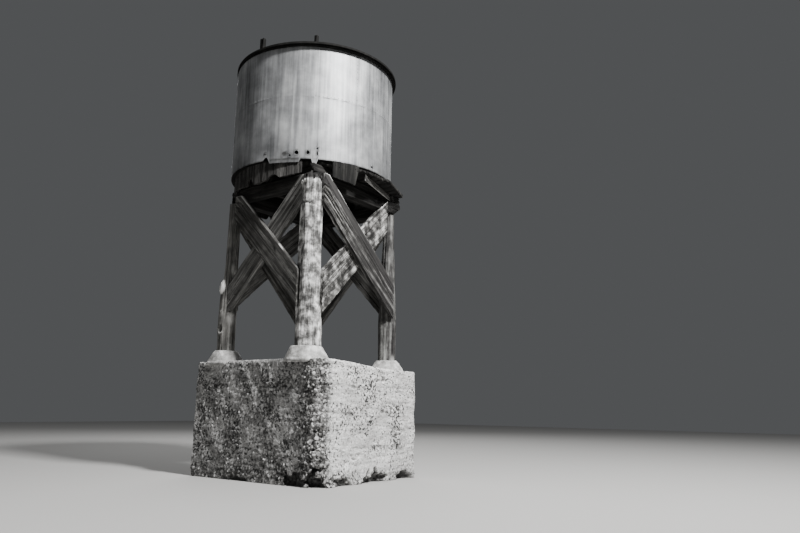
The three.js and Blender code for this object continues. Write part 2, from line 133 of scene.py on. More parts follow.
for name in ("sun", "fill", "back"):
    addLight(name, lightValues[name])
world = bpy.data.worlds.new("studio")
bpy.context.scene.world = world
world.use_nodes = True
worldInputs = world.node_tree.nodes["Background"].inputs
worldInputs["Color"].default_value = hexColour(lightValues["surroundings"][0])
worldInputs["Strength"].default_value = lightValues["surroundings"][1]

floorColour, floorWidth = lightValues["floor"]
floorMaterial, floorTree = newMaterial("paleFloor")
floorShader = addNode(floorTree, "ShaderNodeBsdfPrincipled",
                      {"Base Color": hexColour(floorColour), "Roughness": 0.9})
addNode(floorTree, "ShaderNodeOutputMaterial", {"Surface": floorShader.outputs[0]})
floorMesh = bpy.data.meshes.new("floor")
half = floorWidth / 2
floorMesh.from_pydata([(-half, -half, 0), (half, -half, 0), (half, half, 0), (-half, half, 0)], [],
                      [(0, 1, 2, 3)])
floor = newObject("floor", floorMesh)
floorMesh.materials.append(floorMaterial)


print("Materials")


# Old timber that has gone grey: soft bands along the grain, fine fibres, drying cracks painted near-black as
# shade, and blotches.
# It reads the piece's own attributes: grain, which is (along, across, through) in metres, one which is 1 on a
# sawn strip that is still whole and where dark is painted as shade, and one which is 1 where wood has worn
# pale and where a highlight is painted.
def oldWood(name, dark, middle, pale, seed, crackShare=0.5, blotchSize=0.35, blotchShare=0.35, bandShare=0.62,
            spread=0.14):
    material, tree = newMaterial(name)
    grain = addNode(tree, "ShaderNodeAttribute", attribute_name="grain").outputs["Vector"]
    place = addNode(tree, "ShaderNodeTexCoord").outputs["Object"]
    moved = addNode(tree, "ShaderNodeVectorMath", {0: grain, 1: (seed, seed * 0.7, seed * 1.3)},
                    operation="ADD").outputs[0]
    # growth rings cut along, about 40 mm apart: wider than real ones so that they show from the camera
    bandPlace = addNode(tree, "ShaderNodeMapping", {0: moved, 3: (0.9, 24, 24)}).outputs[0]
    bands = addNode(tree, "ShaderNodeTexNoise",
                    {"Vector": bandPlace, "Scale": 1.0, "Detail": 5.0, "Roughness": 0.6})
    # fibres about 8 mm apart, also wider than real ones
    fibrePlace = addNode(tree, "ShaderNodeMapping", {0: moved, 3: (5, 120, 120)}).outputs[0]
    fibres = addNode(tree, "ShaderNodeTexNoise",
                     {"Vector": fibrePlace, "Scale": 1.0, "Detail": 4.0, "Roughness": 0.7})
    # drying cracks about 50 mm apart that run on for most of a metre
    crackPlace = addNode(tree, "ShaderNodeMapping", {0: moved, 3: (1.1, 19, 19)}).outputs[0]
    cracks = addNode(tree, "ShaderNodeTexVoronoi", {"Vector": crackPlace, "Scale": 1.0, "Randomness": 1.0},
                     feature="DISTANCE_TO_EDGE")
    crackLine = addNode(tree, "ShaderNodeMapRange",
                        {0: cracks.outputs["Distance"], 1: 0.0, 2: 0.055, 3: 1.0, 4: 0.0})
    broken = addNode(tree, "ShaderNodeTexNoise", {"Vector": bandPlace, "Scale": 0.35, "Detail": 2.0})
    crackOn = addNode(tree, "ShaderNodeMapRange",
                      {0: broken.outputs[0], 1: 0.45, 2: 0.6, 3: 0.0, 4: crackShare})
    crack = addNode(tree, "ShaderNodeMath", {0: crackLine.outputs[0], 1: crackOn.outputs[0]},
                    operation="MULTIPLY")
    blotches = addNode(tree, "ShaderNodeTexNoise",
                       {"Vector": place, "Scale": 1 / blotchSize, "Detail": 4.0, "Roughness": 0.6})
    lumps = addNode(tree, "ShaderNodeMath", {0: blotches.outputs[0], 1: 0.62 - bandShare, 2: 0.0},
                    operation="MULTIPLY_ADD")
    mixed = addNode(tree, "ShaderNodeMath", {0: bands.outputs[0], 1: bandShare, 2: lumps.outputs[0]},
                    operation="MULTIPLY_ADD")
    tone = addNode(tree, "ShaderNodeMath", {0: fibres.outputs[0], 1: 0.38, 2: mixed.outputs[0]},
                   operation="MULTIPLY_ADD")
    colour = addNode(tree, "ShaderNodeValToRGB", {0: tone.outputs[0]},
                     [(0.5 - spread, dark), (0.5, middle), (0.5 + spread, pale)])
    blotchTone = addNode(tree, "ShaderNodeMapRange",
                         {0: blotches.outputs[0], 1: 0.41, 2: 0.59, 3: 1 - blotchShare, 4: 1.1})
    stained = addNode(tree, "ShaderNodeVectorMath", {0: colour.outputs[0], "Scale": blotchTone.outputs[0]},
                      operation="SCALE")
    # the drying cracks are painted near-black: painted shade in them
    cracked = addNode(tree, "ShaderNodeMix",
                      {0: crack.outputs[0], 6: stained.outputs[0], 7: hexColour("0f0f0e")},
                      data_type="RGBA")
    sawnAndShade = addNode(tree, "ShaderNodeAttribute", attribute_name="sawnAndShade").outputs["Fac"]
    sawn = addNode(tree, "ShaderNodeValToRGB", {0: tone.outputs[0]}, [(0.42, "1d1c1c"), (0.58, "3b3a39")])
    whole = addNode(tree, "ShaderNodeMix", {0: sawnAndShade, 6: cracked.outputs[2], 7: sawn.outputs[0]},
                    data_type="RGBA")
    paleWearAndHighlight = addNode(tree, "ShaderNodeAttribute", attribute_name="paleWearAndHighlight").outputs["Fac"]
    final = addNode(tree, "ShaderNodeMix", {0: paleWearAndHighlight, 6: whole.outputs[2], 7: hexColour("dcdbd8")},
                    data_type="RGBA")
    height = addNode(tree, "ShaderNodeMath", {0: crack.outputs[0], 1: -1.2, 2: tone.outputs[0]},
                     operation="MULTIPLY_ADD")
    relief = addNode(tree, "ShaderNodeBump",
                     {"Strength": 0.6, "Distance": 0.006, "Height": height.outputs[0]})
    shader = addNode(tree, "ShaderNodeBsdfPrincipled", {
        "Base Color": final.outputs[2], "Roughness": 0.9, "IOR": 1.45, "Specular IOR Level": 0.2,
        "Normal": relief.outputs[0]})
    addNode(tree, "ShaderNodeOutputMaterial", {"Surface": shader.outputs[0]})
    return material


# Site-mixed concrete with coarse gravel: pale cement skin, pits, and stones where it has worn. The pits and
# the gaps between the stones are painted dark as shade.
# It reads the piece's own exposed, onStone and stoneTone attributes, and one that paints shade in the foot's
# hollows and on the front face.
def roughConcrete():
    material, tree = newMaterial("siteMixedConcrete")
    place = addNode(tree, "ShaderNodeTexCoord").outputs["Object"]
    worn, onStone, stoneTone = (addNode(tree, "ShaderNodeAttribute", attribute_name=name).outputs["Fac"]
                                for name in ("exposed", "onStone", "stoneTone"))
    clouds = addNode(tree, "ShaderNodeTexNoise",
                     {"Vector": place, "Scale": 2.2, "Detail": 6.0, "Roughness": 0.62})
    # sharp sand, drawn as 14 mm so that it shows
    grit = addNode(tree, "ShaderNodeTexNoise",
                   {"Vector": place, "Scale": 70.0, "Detail": 3.0, "Roughness": 0.6})
    # stones 20 to 30 mm across, their outlines bent by a finer noise
    bent = addNode(tree, "ShaderNodeTexNoise", {"Vector": place, "Scale": 30.0, "Detail": 2.0})
    bentPlace = addNode(tree, "ShaderNodeVectorMath",
                        {0: bent.outputs["Color"], 1: (0.03, 0.03, 0.03), 2: place},
                        operation="MULTIPLY_ADD").outputs[0]
    gravel = addNode(tree, "ShaderNodeTexVoronoi", {"Vector": bentPlace, "Scale": 33.0})
    gravelTone = addNode(tree, "ShaderNodeSeparateColor", {0: gravel.outputs["Color"]}).outputs[0]
    skin = addNode(tree, "ShaderNodeValToRGB", {0: clouds.outputs[0]},
                   [(0.3, "bbbab8"), (0.5, "dcdbd9"), (0.7, "f0efed")])
    allTones = addNode(tree, "ShaderNodeMix", {0: 0.6, 2: stoneTone, 3: gravelTone}).outputs[0]
    stoneColour = addNode(tree, "ShaderNodeValToRGB", {0: allTones},
                          [(0.15, "5a5957"), (0.4, "8c8b89"), (0.65, "bdbcba"), (0.85, "e6e5e3")])
    # the gaps round the stones are darkened: painted shade
    gaps = addNode(tree, "ShaderNodeMapRange", {0: onStone, 1: 0.05, 2: 0.5, 3: 0.55, 4: 1.0})
    fineGaps = addNode(tree, "ShaderNodeMapRange",
                       {0: gravel.outputs["Distance"], 1: 0.46, 2: 0.74, 3: 1.0, 4: 0.38})
    gapShade = addNode(tree, "ShaderNodeMath", {0: gaps.outputs[0], 1: fineGaps.outputs[0]},
                      operation="MULTIPLY")
    stone = addNode(tree, "ShaderNodeVectorMath", {0: stoneColour.outputs[0], "Scale": gapShade.outputs[0]},
                    operation="SCALE")
    wornShare = addNode(tree, "ShaderNodeMapRange", {0: worn, 1: 0.12, 2: 0.6, 3: 0.05, 4: 1.0})
    mixed = addNode(tree, "ShaderNodeMix", {0: wornShare.outputs[0], 6: skin.outputs[0], 7: stone.outputs[0]},
                    data_type="RGBA")
    # air holes of 10 to 20 mm in the skin, in groups, painted near-black: painted shade in the holes
    pits = addNode(tree, "ShaderNodeTexNoise",
                   {"Vector": place, "Scale": 30.0, "Detail": 4.0, "Roughness": 0.7})
    pitPatches = addNode(tree, "ShaderNodeTexNoise", {"Vector": place, "Scale": 4.5, "Detail": 2.0})
    pitSum = addNode(tree, "ShaderNodeMath", {0: pitPatches.outputs[0], 1: 0.35, 2: pits.outputs[0]},
                     operation="MULTIPLY_ADD")
    pitShare = addNode(tree, "ShaderNodeMapRange",
                       {0: pitSum.outputs[0], 1: 0.735, 2: 0.775, 3: 0.0, 4: 0.97})
    pitted = addNode(tree, "ShaderNodeMix",
                     {0: pitShare.outputs[0], 6: mixed.outputs[2], 7: hexColour("232221")},
                     data_type="RGBA")
    # layers about 60 mm high, as it was poured
    bedPlace = addNode(tree, "ShaderNodeMapping", {0: place, 3: (2.5, 2.5, 17)}).outputs[0]
    beds = addNode(tree, "ShaderNodeTexNoise",
                   {"Vector": bedPlace, "Scale": 1.0, "Detail": 6.0, "Roughness": 0.65})
    bedTone = addNode(tree, "ShaderNodeMapRange", {0: beds.outputs[0], 1: 0.36, 2: 0.56, 3: 0.62, 4: 1.08})
    grainTone = addNode(tree, "ShaderNodeMapRange", {0: grit.outputs[0], 1: 0.3, 2: 0.7, 3: 0.70, 4: 1.22})
    gritTone = addNode(tree, "ShaderNodeMath", {0: bedTone.outputs[0], 1: grainTone.outputs[0]},
                       operation="MULTIPLY")
    gritty = addNode(tree, "ShaderNodeVectorMath", {0: pitted.outputs[2], "Scale": gritTone.outputs[0]},
                     operation="SCALE")
    # painted shade: near-black in the hollows of the foot and over the front face
    paintedShade = addNode(tree, "ShaderNodeAttribute", attribute_name="paintedShade").outputs["Fac"]
    final = addNode(tree, "ShaderNodeMix", {0: paintedShade, 6: gritty.outputs[0], 7: hexColour("141312")},
                    data_type="RGBA")
    pitDepth = addNode(tree, "ShaderNodeMath", {0: pitShare.outputs[0], 1: -1.5, 2: grit.outputs[0]},
                       operation="MULTIPLY_ADD")
    stoneDepth = addNode(tree, "ShaderNodeMath", {0: wornShare.outputs[0], 1: fineGaps.outputs[0]},
                         operation="MULTIPLY")
    height = addNode(tree, "ShaderNodeMath", {0: stoneDepth.outputs[0], 1: 1.6, 2: pitDepth.outputs[0]},
                     operation="MULTIPLY_ADD")
    relief = addNode(tree, "ShaderNodeBump",
                     {"Strength": 0.9, "Distance": 0.012, "Height": height.outputs[0]})
    shader = addNode(tree, "ShaderNodeBsdfPrincipled", {
        "Base Color": final.outputs[2], "Roughness": 0.94, "IOR": 1.5, "Normal": relief.outputs[0]})
    addNode(tree, "ShaderNodeOutputMaterial", {"Surface": shader.outputs[0]})
    return material


# A surface that needs only a cloudy pattern of three colours and a fine relief
def cloudedSurface(name, clouds, colours, grit, relief, looks):
    material, tree = newMaterial(name)
    place = addNode(tree, "ShaderNodeTexCoord").outputs["Object"]
    pattern = addNode(tree, "ShaderNodeTexNoise", {"Vector": place, **clouds})
    colour = addNode(tree, "ShaderNodeValToRGB", {0: pattern.outputs[0]}, colours)
    fine = addNode(tree, "ShaderNodeTexNoise", {"Vector": place, **grit})
    bumps = addNode(tree, "ShaderNodeBump", {**relief, "Height": fine.outputs[0]})
    shader = addNode(tree, "ShaderNodeBsdfPrincipled",
                     {"Base Color": colour.outputs[0], "Normal": bumps.outputs[0], **looks})
    addNode(tree, "ShaderNodeOutputMaterial", {"Surface": shader.outputs[0]})
    return material


# Galvanised sheet that has lost its shine: pale zinc bloom, fine upright stains, rust round the holes.
# The stains are about 60 mm apart. The rust attribute is 1 at the holes and the ragged foot.
def dullZinc():
    material, tree = newMaterial("dullGalvanisedSheet")
    place = addNode(tree, "ShaderNodeTexCoord").outputs["Object"]
    height = addNode(tree, "ShaderNodeSeparateXYZ", {0: place}).outputs[2]
    streakPlace = addNode(tree, "ShaderNodeMapping", {0: place, 3: (17, 17, 0.6)}).outputs[0]
    streaks = addNode(tree, "ShaderNodeTexNoise",
                      {"Vector": streakPlace, "Scale": 1.0, "Detail": 6.0, "Roughness": 0.65})
    clouds = addNode(tree, "ShaderNodeTexNoise",
                     {"Vector": place, "Scale": 2.4, "Detail": 6.0, "Roughness": 0.6})
    mixed = addNode(tree, "ShaderNodeMath", {0: streaks.outputs[0], 1: 0.5, 2: 0.0}, operation="MULTIPLY_ADD")
    tone = addNode(tree, "ShaderNodeMath", {0: clouds.outputs[0], 1: 0.5, 2: mixed.outputs[0]},
                   operation="MULTIPLY_ADD")
    colour = addNode(tree, "ShaderNodeValToRGB", {0: tone.outputs[0]},
                     [(0.36, "5c5d5e"), (0.5, "8a8b8c"), (0.64, "b2b3b3")])
    low = addNode(tree, "ShaderNodeMapRange", {0: height, 1: 4.28, 2: 4.75, 3: 1.0, 4: 0.0})
    stainShape = addNode(tree, "ShaderNodeMapRange",
                         {0: streaks.outputs[0], 1: 0.53, 2: 0.66, 3: 0.0, 4: 0.7})
    stain = addNode(tree, "ShaderNodeMath", {0: low.outputs[0], 1: stainShape.outputs[0]},
                    operation="MULTIPLY")
    hole = addNode(tree, "ShaderNodeAttribute", attribute_name="rust").outputs["Fac"]
    rustAll = addNode(tree, "ShaderNodeMath", {0: stain.outputs[0], 1: hole}, operation="MAXIMUM")
    rust = addNode(tree, "ShaderNodeMix",
                   {0: rustAll.outputs[0], 6: colour.outputs[0], 7: hexColour("292725")},
                   data_type="RGBA")
    shine = addNode(tree, "ShaderNodeMapRange", {0: tone.outputs[0], 1: 0.3, 2: 0.7, 3: 0.42, 4: 0.62})
    relief = addNode(tree, "ShaderNodeBump", {"Strength": 0.15, "Distance": 0.004, "Height": tone.outputs[0]})
    shader = addNode(tree, "ShaderNodeBsdfPrincipled", {
        "Base Color": rust.outputs[2], "Metallic": 0.6, "Roughness": shine.outputs[0],
        "Normal": relief.outputs[0]})
    addNode(tree, "ShaderNodeOutputMaterial", {"Surface": shader.outputs[0]})
    return material


concrete = roughConcrete()
zinc = dullZinc()
# River gravel that stands out of the concrete: the grey changes every 60 mm or so, from stone to stone
gravel = cloudedSurface(
    "riverGravel", {"Scale": 17.0, "Detail": 1.0}, [(0.36, "4c4b4a"), (0.5, "8a8988"), (0.64, "cccbc9")],
    {"Scale": 160.0, "Detail": 2.0}, {"Strength": 0.4, "Distance": 0.003}, {"Roughness": 0.85, "IOR": 1.52})
# Lime mortar laid on by hand: pale, blotchy every 110 mm or so, and sandy, with the sand drawn as 12 mm
mortar = cloudedSurface(
    "handMortar", {"Scale": 9.0, "Detail": 6.0, "Roughness": 0.65},
    [(0.34, "747371"), (0.5, "a3a2a0"), (0.64, "d2d1cf")], {"Scale": 85.0, "Detail": 3.0, "Roughness": 0.7},
    {"Strength": 0.7, "Distance": 0.008}, {"Roughness": 0.93, "IOR": 1.5})
# Steel sheet that has rusted all over: near-black brown grey, partly rust and partly painted shade, matt,
# cloudy, with flakes drawn as 17 mm
rustAndShadeSteel = cloudedSurface(
    "rustedSheetAndShade", {"Scale": 7.0, "Detail": 7.0, "Roughness": 0.68},
    [(0.32, "050505"), (0.5, "0b0b0a"), (0.7, "1e1d1c")], {"Scale": 60.0, "Detail": 3.0, "Roughness": 0.7},
    {"Strength": 0.5, "Distance": 0.004}, {"Metallic": 0.25, "Roughness": 0.85, "Specular IOR Level": 0.2})

# Finishes of the same old timber, from logs bleached by the sun to near-black copies that paint shade
paleLog = oldWood("barkedLogPale", "4b4a49", "9b9a98", "e2e1df", seed=1.0, blotchSize=0.12, blotchShare=0.5,
                  bandShare=0.2, spread=0.085)
greyLog = oldWood("barkedLogGrey", "3a3937", "6c6b68", "a3a29f", seed=4.0, blotchSize=0.3, blotchShare=0.45)
# a near-black copy for the right-hand post: painted shade
shadedLog = oldWood("barkedLogPaintedShade", "1c1b1b", "4a4948", "90908d", seed=5.0, blotchSize=0.2, blotchShare=0.5)
greyPlank = oldWood("sawnPlankGrey", "1f1e1d", "434240", "787774", seed=7.0, crackShare=0.8)
wornPlank = oldWood("sawnPlankWorn", "2b2a29", "5b5a58", "999895", seed=23.0, crackShare=0.6)
# its strong small blotches are painted dappled shadow and light
palePlank = oldWood("sawnPlankPale", "242322", "62615f", "b9b8b5", seed=9.0, blotchSize=0.13, blotchShare=0.7,
                    bandShare=0.35, spread=0.1)
splitPlank = oldWood("sawnPlankSplit", "0f0f0e", "454442", "b4b3b0", seed=12.0, crackShare=0.8,
                     blotchSize=0.14, blotchShare=0.6, spread=0.12)
# near-black timber for the beams, joists and deck: painted shade under the tank
shadedBeam = oldWood("hewnBeamPaintedShade", "101010", "201f1e", "3d3c3a", seed=15.0)
greySkirt = oldWood("skirtBoardGrey", "161615", "2e2d2c", "545351", seed=18.0, crackShare=0.8)
# a darker copy for the right-hand run of skirt boards: painted shade
shadedSkirt = oldWood("skirtBoardPaintedShade", "0b0b0b", "191918", "343331", seed=20.0, crackShare=0.8)


print("Shared shaping tools")


# A random value from 0 to 1 for each cell of space, the same at every run
def cellValue(cell, seed):
    whole = cell.astype(np.int64)
    mixed = whole[..., 0] * 374761393 + whole[..., 1] * 668265263 + whole[..., 2] * 1440662683 + seed * 974711
    mixed = (mixed ^ (mixed >> 13)) * 1274126177
    return ((mixed ^ (mixed >> 16)) & 65535) / 65535


# Smooth noise from 0 to 1 at each point
def valueNoise(points, seed):
    base = np.floor(points)
    part = points - base
    part = part * part * (3 - 2 * part)
    total = np.zeros(len(points))
    for corner in np.ndindex(2, 2, 2):
        weight = np.ones(len(points))
        for axis in range(3):
            weight = weight * (part[:, axis] if corner[axis] else 1 - part[:, axis])
        total += cellValue(base + np.array(corner), seed) * weight
    return total


# Round stones packed in space, one to a cell: how high each point stands on its stone, and the stone's tone
def packedStones(points, size, seed):
    flat = points.reshape(-1, 3) / size
    base = np.floor(flat)
    nearest, tone = np.full(len(flat), 9.0), np.zeros(len(flat))
    for shift in np.ndindex(3, 3, 3):
        cell = base + np.array(shift) - 1
        middle = cell + np.stack([cellValue(cell, seed + axis) for axis in range(3)], -1)
        distance = np.linalg.norm(flat - middle, axis=1)
        tone = np.where(distance < nearest, cellValue(cell, seed + 3), tone)
        nearest = np.minimum(nearest, distance)
    height = np.sqrt(np.clip(1 - (nearest / 0.8) ** 2, 0, 1))
    return height.reshape(points.shape[:-1]), tone.reshape(points.shape[:-1])


# Layers of smooth noise, each half the size and strength of the one before, from 0 to 1
def roughNoise(points, size, seed, layers=3):
    scale = np.array(size, float)
    shape = points.shape[:-1]
    flat = points.reshape(-1, 3) / scale
    total, weight, strength = 0.0, 0.0, 1.0
    for layer in range(layers):
        total = total + strength * valueNoise(flat * 2 ** layer + 17.3 * layer, seed + layer)
        weight += strength
        strength /= 2
    return (total / weight).reshape(shape)


# The same layers along a line, from the distance along it
def lineNoise(distance, size, seed):
    flat = distance * 0
    return roughNoise(np.stack([distance, flat, flat], -1), size, seed)


def smoothStep(low, high, value):
    part = np.clip((value - low) / (high - low), 0, 1)
    return part * part * (3 - 2 * part)


# An angle in radians, brought within half a turn of zero
def shortTurn(angle):
    return (angle + math.pi) % (2 * math.pi) - math.pi


# The level way out at an angle from the front (-Y) towards the right (+X)
def wayOut(angle):
    return np.array((math.sin(angle), -math.cos(angle), 0))


# The points all round a circle, as angles from the front towards the right
def allRound(count):
    return np.linspace(0, 2 * math.pi, count, endpoint=False)


# Points round (x, y), a radius and a level for each angle
def ringAt(x, y, radius, angles, levels):
    return np.stack([x + radius * np.sin(angles), y - radius * np.cos(angles), levels], -1)


# Joins closed rings of points. The ends are closed with a centre point, or the rings make a loop.
def skin(name, rings, loop=False):
    count, around = rings.shape[:2]
    points = rings.reshape(-1, 3)
    here = np.arange(count * around).reshape(count, around)
    beside = np.roll(here, -1, axis=1)
    above, aboveBeside = np.roll(here, -1, axis=0), np.roll(beside, -1, axis=0)
    quads = np.stack([here, beside, aboveBeside, above], -1)
    faces = quads[:None if loop else -1].reshape(-1, 4).tolist()
    if not loop:
        points = np.vstack([points, rings[0].mean(0), rings[-1].mean(0)])
        faces += [(b, a, count * around) for a, b in zip(here[0].tolist(), beside[0].tolist())]
        faces += [(a, b, count * around + 1) for a, b in zip(here[-1].tolist(), beside[-1].tolist())]
    mesh = bpy.data.meshes.new(name)
    mesh.from_pydata(points.tolist(), [], faces)
    return newObject(name, mesh)


def pointsOf(piece):
    values = np.empty(len(piece.data.vertices) * 3, np.float32)
    piece.data.vertices.foreach_get("co", values)
    return values.reshape(-1, 3)


def nodePoints(node):
    return np.array([vertex.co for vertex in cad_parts[node].data.vertices])


def nodeNames(start):
    return sorted(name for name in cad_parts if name.startswith(start))


# A welded copy of a CAD node's mesh, for cutting with
def solidCopy(node):
    copy = newObject(node + "Cutter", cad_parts[node].data.copy())
    body = bmesh.new()
    body.from_mesh(copy.data)
    bmesh.ops.remove_doubles(body, verts=body.verts, dist=0.00002)
    body.to_mesh(copy.data)
    body.free()
    return copy


def boxCutter(low, high):
    mesh = bpy.data.meshes.new("boxCutter")
    body = bmesh.new()
    bmesh.ops.create_cube(body, size=1)
    middle, size = (Vector(low) + Vector(high)) / 2, Vector(high) - Vector(low)
    bmesh.ops.transform(body, matrix=Matrix.Translation(middle) @ Matrix.Diagonal(size).to_4x4(),
                        verts=body.verts)
    body.to_mesh(mesh)
    body.free()
    return newObject("boxCutter", mesh)


# Cuts away the cutters, or keeps only what is inside them, and removes them
def carve(piece, cutters, operation="DIFFERENCE"):
    for cutter in cutters:
        modifier = piece.modifiers.new("carve", "BOOLEAN")
        modifier.operation = operation
        modifier.solver = "MANIFOLD"
        modifier.object = cutter
    applyModifiers(piece)
    for cutter in cutters:
        bpy.data.objects.remove(cutter)


def applyModifiers(piece):
    bpy.context.view_layer.update()
    mesh = bpy.data.meshes.new_from_object(piece.evaluated_get(bpy.context.evaluated_depsgraph_get()))
    piece.modifiers.clear()
    piece.data = mesh


def setValues(piece, name, values):
    attribute = piece.data.attributes.new(name, "FLOAT", "POINT")
    attribute.data.foreach_set("value", np.asarray(values, np.float32).ravel())


# The grain attribute: distance along, across and through the wood from its object coordinates
def setGrain(piece, along, seed=0.0):
    first = np.array(Vector(along).normalized())
    helper = np.array((0, 0, 1.0)) if abs(first[2]) < 0.8 else np.array((1.0, 0, 0))
    second = np.cross(helper, first)
    second /= np.linalg.norm(second)
    third = np.cross(first, second)
    points = pointsOf(piece)
    values = np.stack([points @ first, points @ second, points @ third], -1)
    values = values + seed * np.array((3.1, 1.7, 2.3))
    attribute = piece.data.attributes.new("grain", "FLOAT_VECTOR", "POINT")
    attribute.data.foreach_set("vector", values.astype(np.float32).ravel())


# The last step of each piece: its finish, shading, body and the CAD nodes that it stands for
def finishPiece(piece, material, nodes=(), sharp=40):
    piece.data.materials.clear()
    piece.data.materials.append(material)
    piece.data.shade_smooth()
    piece.data.set_sharp_from_angle(angle=math.radians(sharp))
    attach(piece, "root")
    if nodes:
        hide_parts(*nodes)
    return piece


plankValues = {
    "step": 0.018,  # between cross sections
    "column": 0.013,  # between lines along the face
    "side": 0.02,  # between lines along the edge
    "corner": 0.004,  # worn off each corner
    "edgeWear": 0.006,
    "groove": 0.004,
    # sizes of the wear, all of them along, across and through
    "edgeWearSize": (0.25, 4, 0.06),
    "endWearSize": (1, 0.05, 0.2),
    "grooveSize": (0.55, 0.022, 0.5),
    # splits: depth, half their width at the top and bottom, and ranges of length, place across and lean
    "splitDepth": 0.016,
    "splitWidth": (0.013, 0.002),
    "splitLength": (0.25, 0.8),
    "splitPlace": (0.12, 0.88),
    "splitLean": (-0.08, 0.08),
}


# A weathered plank in its own (along, across, through) axes: worn edges, long grooves, splits from the ends.
# low and high give its edges at each distance along, and all its wear goes inwards. Each of ownSplits says
# whether it opens from the start, then its length, place across, lean and depth.
def plankRings(start, end, low, high, thickness, seed, splits, rag, ownSplits=()):
    values = plankValues
    random = np.random.default_rng(seed)
    stations = max(int((end - start) / values["step"]), 4)
    u = np.linspace(start, end, stations)
    lows, highs = low(u), high(u)
    share = np.linspace(1, 0, max(int(np.max(highs - lows) / values["column"]), 4))
    sides = max(int(thickness / values["side"]), 1)
    ring = [(s, 1.0) for s in share] + [(0.0, 1 - i / (sides + 1)) for i in range(1, sides + 1)]
    ring += [(s, 0.0) for s in share[::-1]] + [(1.0, i / (sides + 1)) for i in range(1, sides + 1)]
    ring = np.array(ring)
    uu = np.repeat(u[:, None], len(ring), 1)
    ss = np.repeat(ring[None, :, 0], stations, 0)
    tt = np.repeat(ring[None, :, 1], stations, 0)
    width = (highs - lows)[:, None]
    across = lows[:, None] + ss * width
    place = np.stack([uu, across, tt * thickness], -1)
    endPlace = place * (0, 1, 1)
    endWear = rag * roughNoise(endPlace, values["endWearSize"], seed + 5)
    farWear = rag * roughNoise(endPlace + (9, 0, 0), values["endWearSize"], seed + 6)
    part = (uu - start) / (end - start)
    uu = start + endWear + part * (end - start - endWear - farWear)
    edgeLow = values["edgeWear"] * roughNoise(place, values["edgeWearSize"], seed + 1)
    edgeHigh = values["edgeWear"] * roughNoise(place, values["edgeWearSize"], seed + 2)
    across = across + edgeLow * (1 - ss) - edgeHigh * ss
    corner = values["corner"]
    grooves = values["groove"] * roughNoise(place, values["grooveSize"], seed + 3)
    chosen = [(random.random() < 0.5, random.uniform(*values["splitLength"]),
               random.uniform(*values["splitPlace"]), random.uniform(*values["splitLean"]),
               values["splitDepth"] * random.uniform(0.5, 1))
              for _ in range(splits)]
    for fromStart, length, middle, lean, depth in chosen + list(ownSplits):
        gone = smoothStep(length, length * 0.5, part if fromStart else 1 - part)
        near = np.abs(ss - middle - lean * part) * width
        grooves = grooves + depth * gone * smoothStep(*values["splitWidth"], near)
    outer, inner = tt > 0.999, tt < 0.001
    deep = np.where(outer, thickness - grooves, np.where(inner, grooves, tt * thickness))
    onCorner = (outer | inner) & ((ss > 0.999) | (ss < 0.001))
    deep = np.where(onCorner & outer, deep - corner, np.where(onCorner & inner, deep + corner, deep))
    across = np.where(onCorner, across + np.where(ss > 0.5, -corner, corner), across)
    return np.stack([uu, across, deep], -1)


# Moves rings from their own axes to the frame. Through is along x across, so the faces point outwards.
def placeRings(rings, origin, along, across):
    first, second = np.array(along, float), np.array(across, float)
    third = np.cross(first, second)
    return np.array(origin) + rings[..., 0:1] * first + rings[..., 1:2] * second + rings[..., 2:3] * third


# A straight timber that fills a CAD box, lying along one axis
def timberInBox(name, low, high, axis, seed, splits, rag, wear=0.0008):
    low, high = Vector(low) + Vector((wear,) * 3), Vector(high) - Vector((wear,) * 3)
    size = high - low
    along, across, sizes = {
        "x": ((1, 0, 0), (0, 1, 0), (size.x, size.y, size.z)),
        "y": ((0, 1, 0), (0, 0, 1), (size.y, size.z, size.x)),
        "z": ((0, 0, 1), (1, 0, 0), (size.z, size.x, size.y)),
    }[axis]
    rings = plankRings(0, sizes[0], lambda u: u * 0, lambda u: u * 0 + sizes[1], sizes[2], seed, splits, rag)
    return skin(name, placeRings(rings, low, along, across))


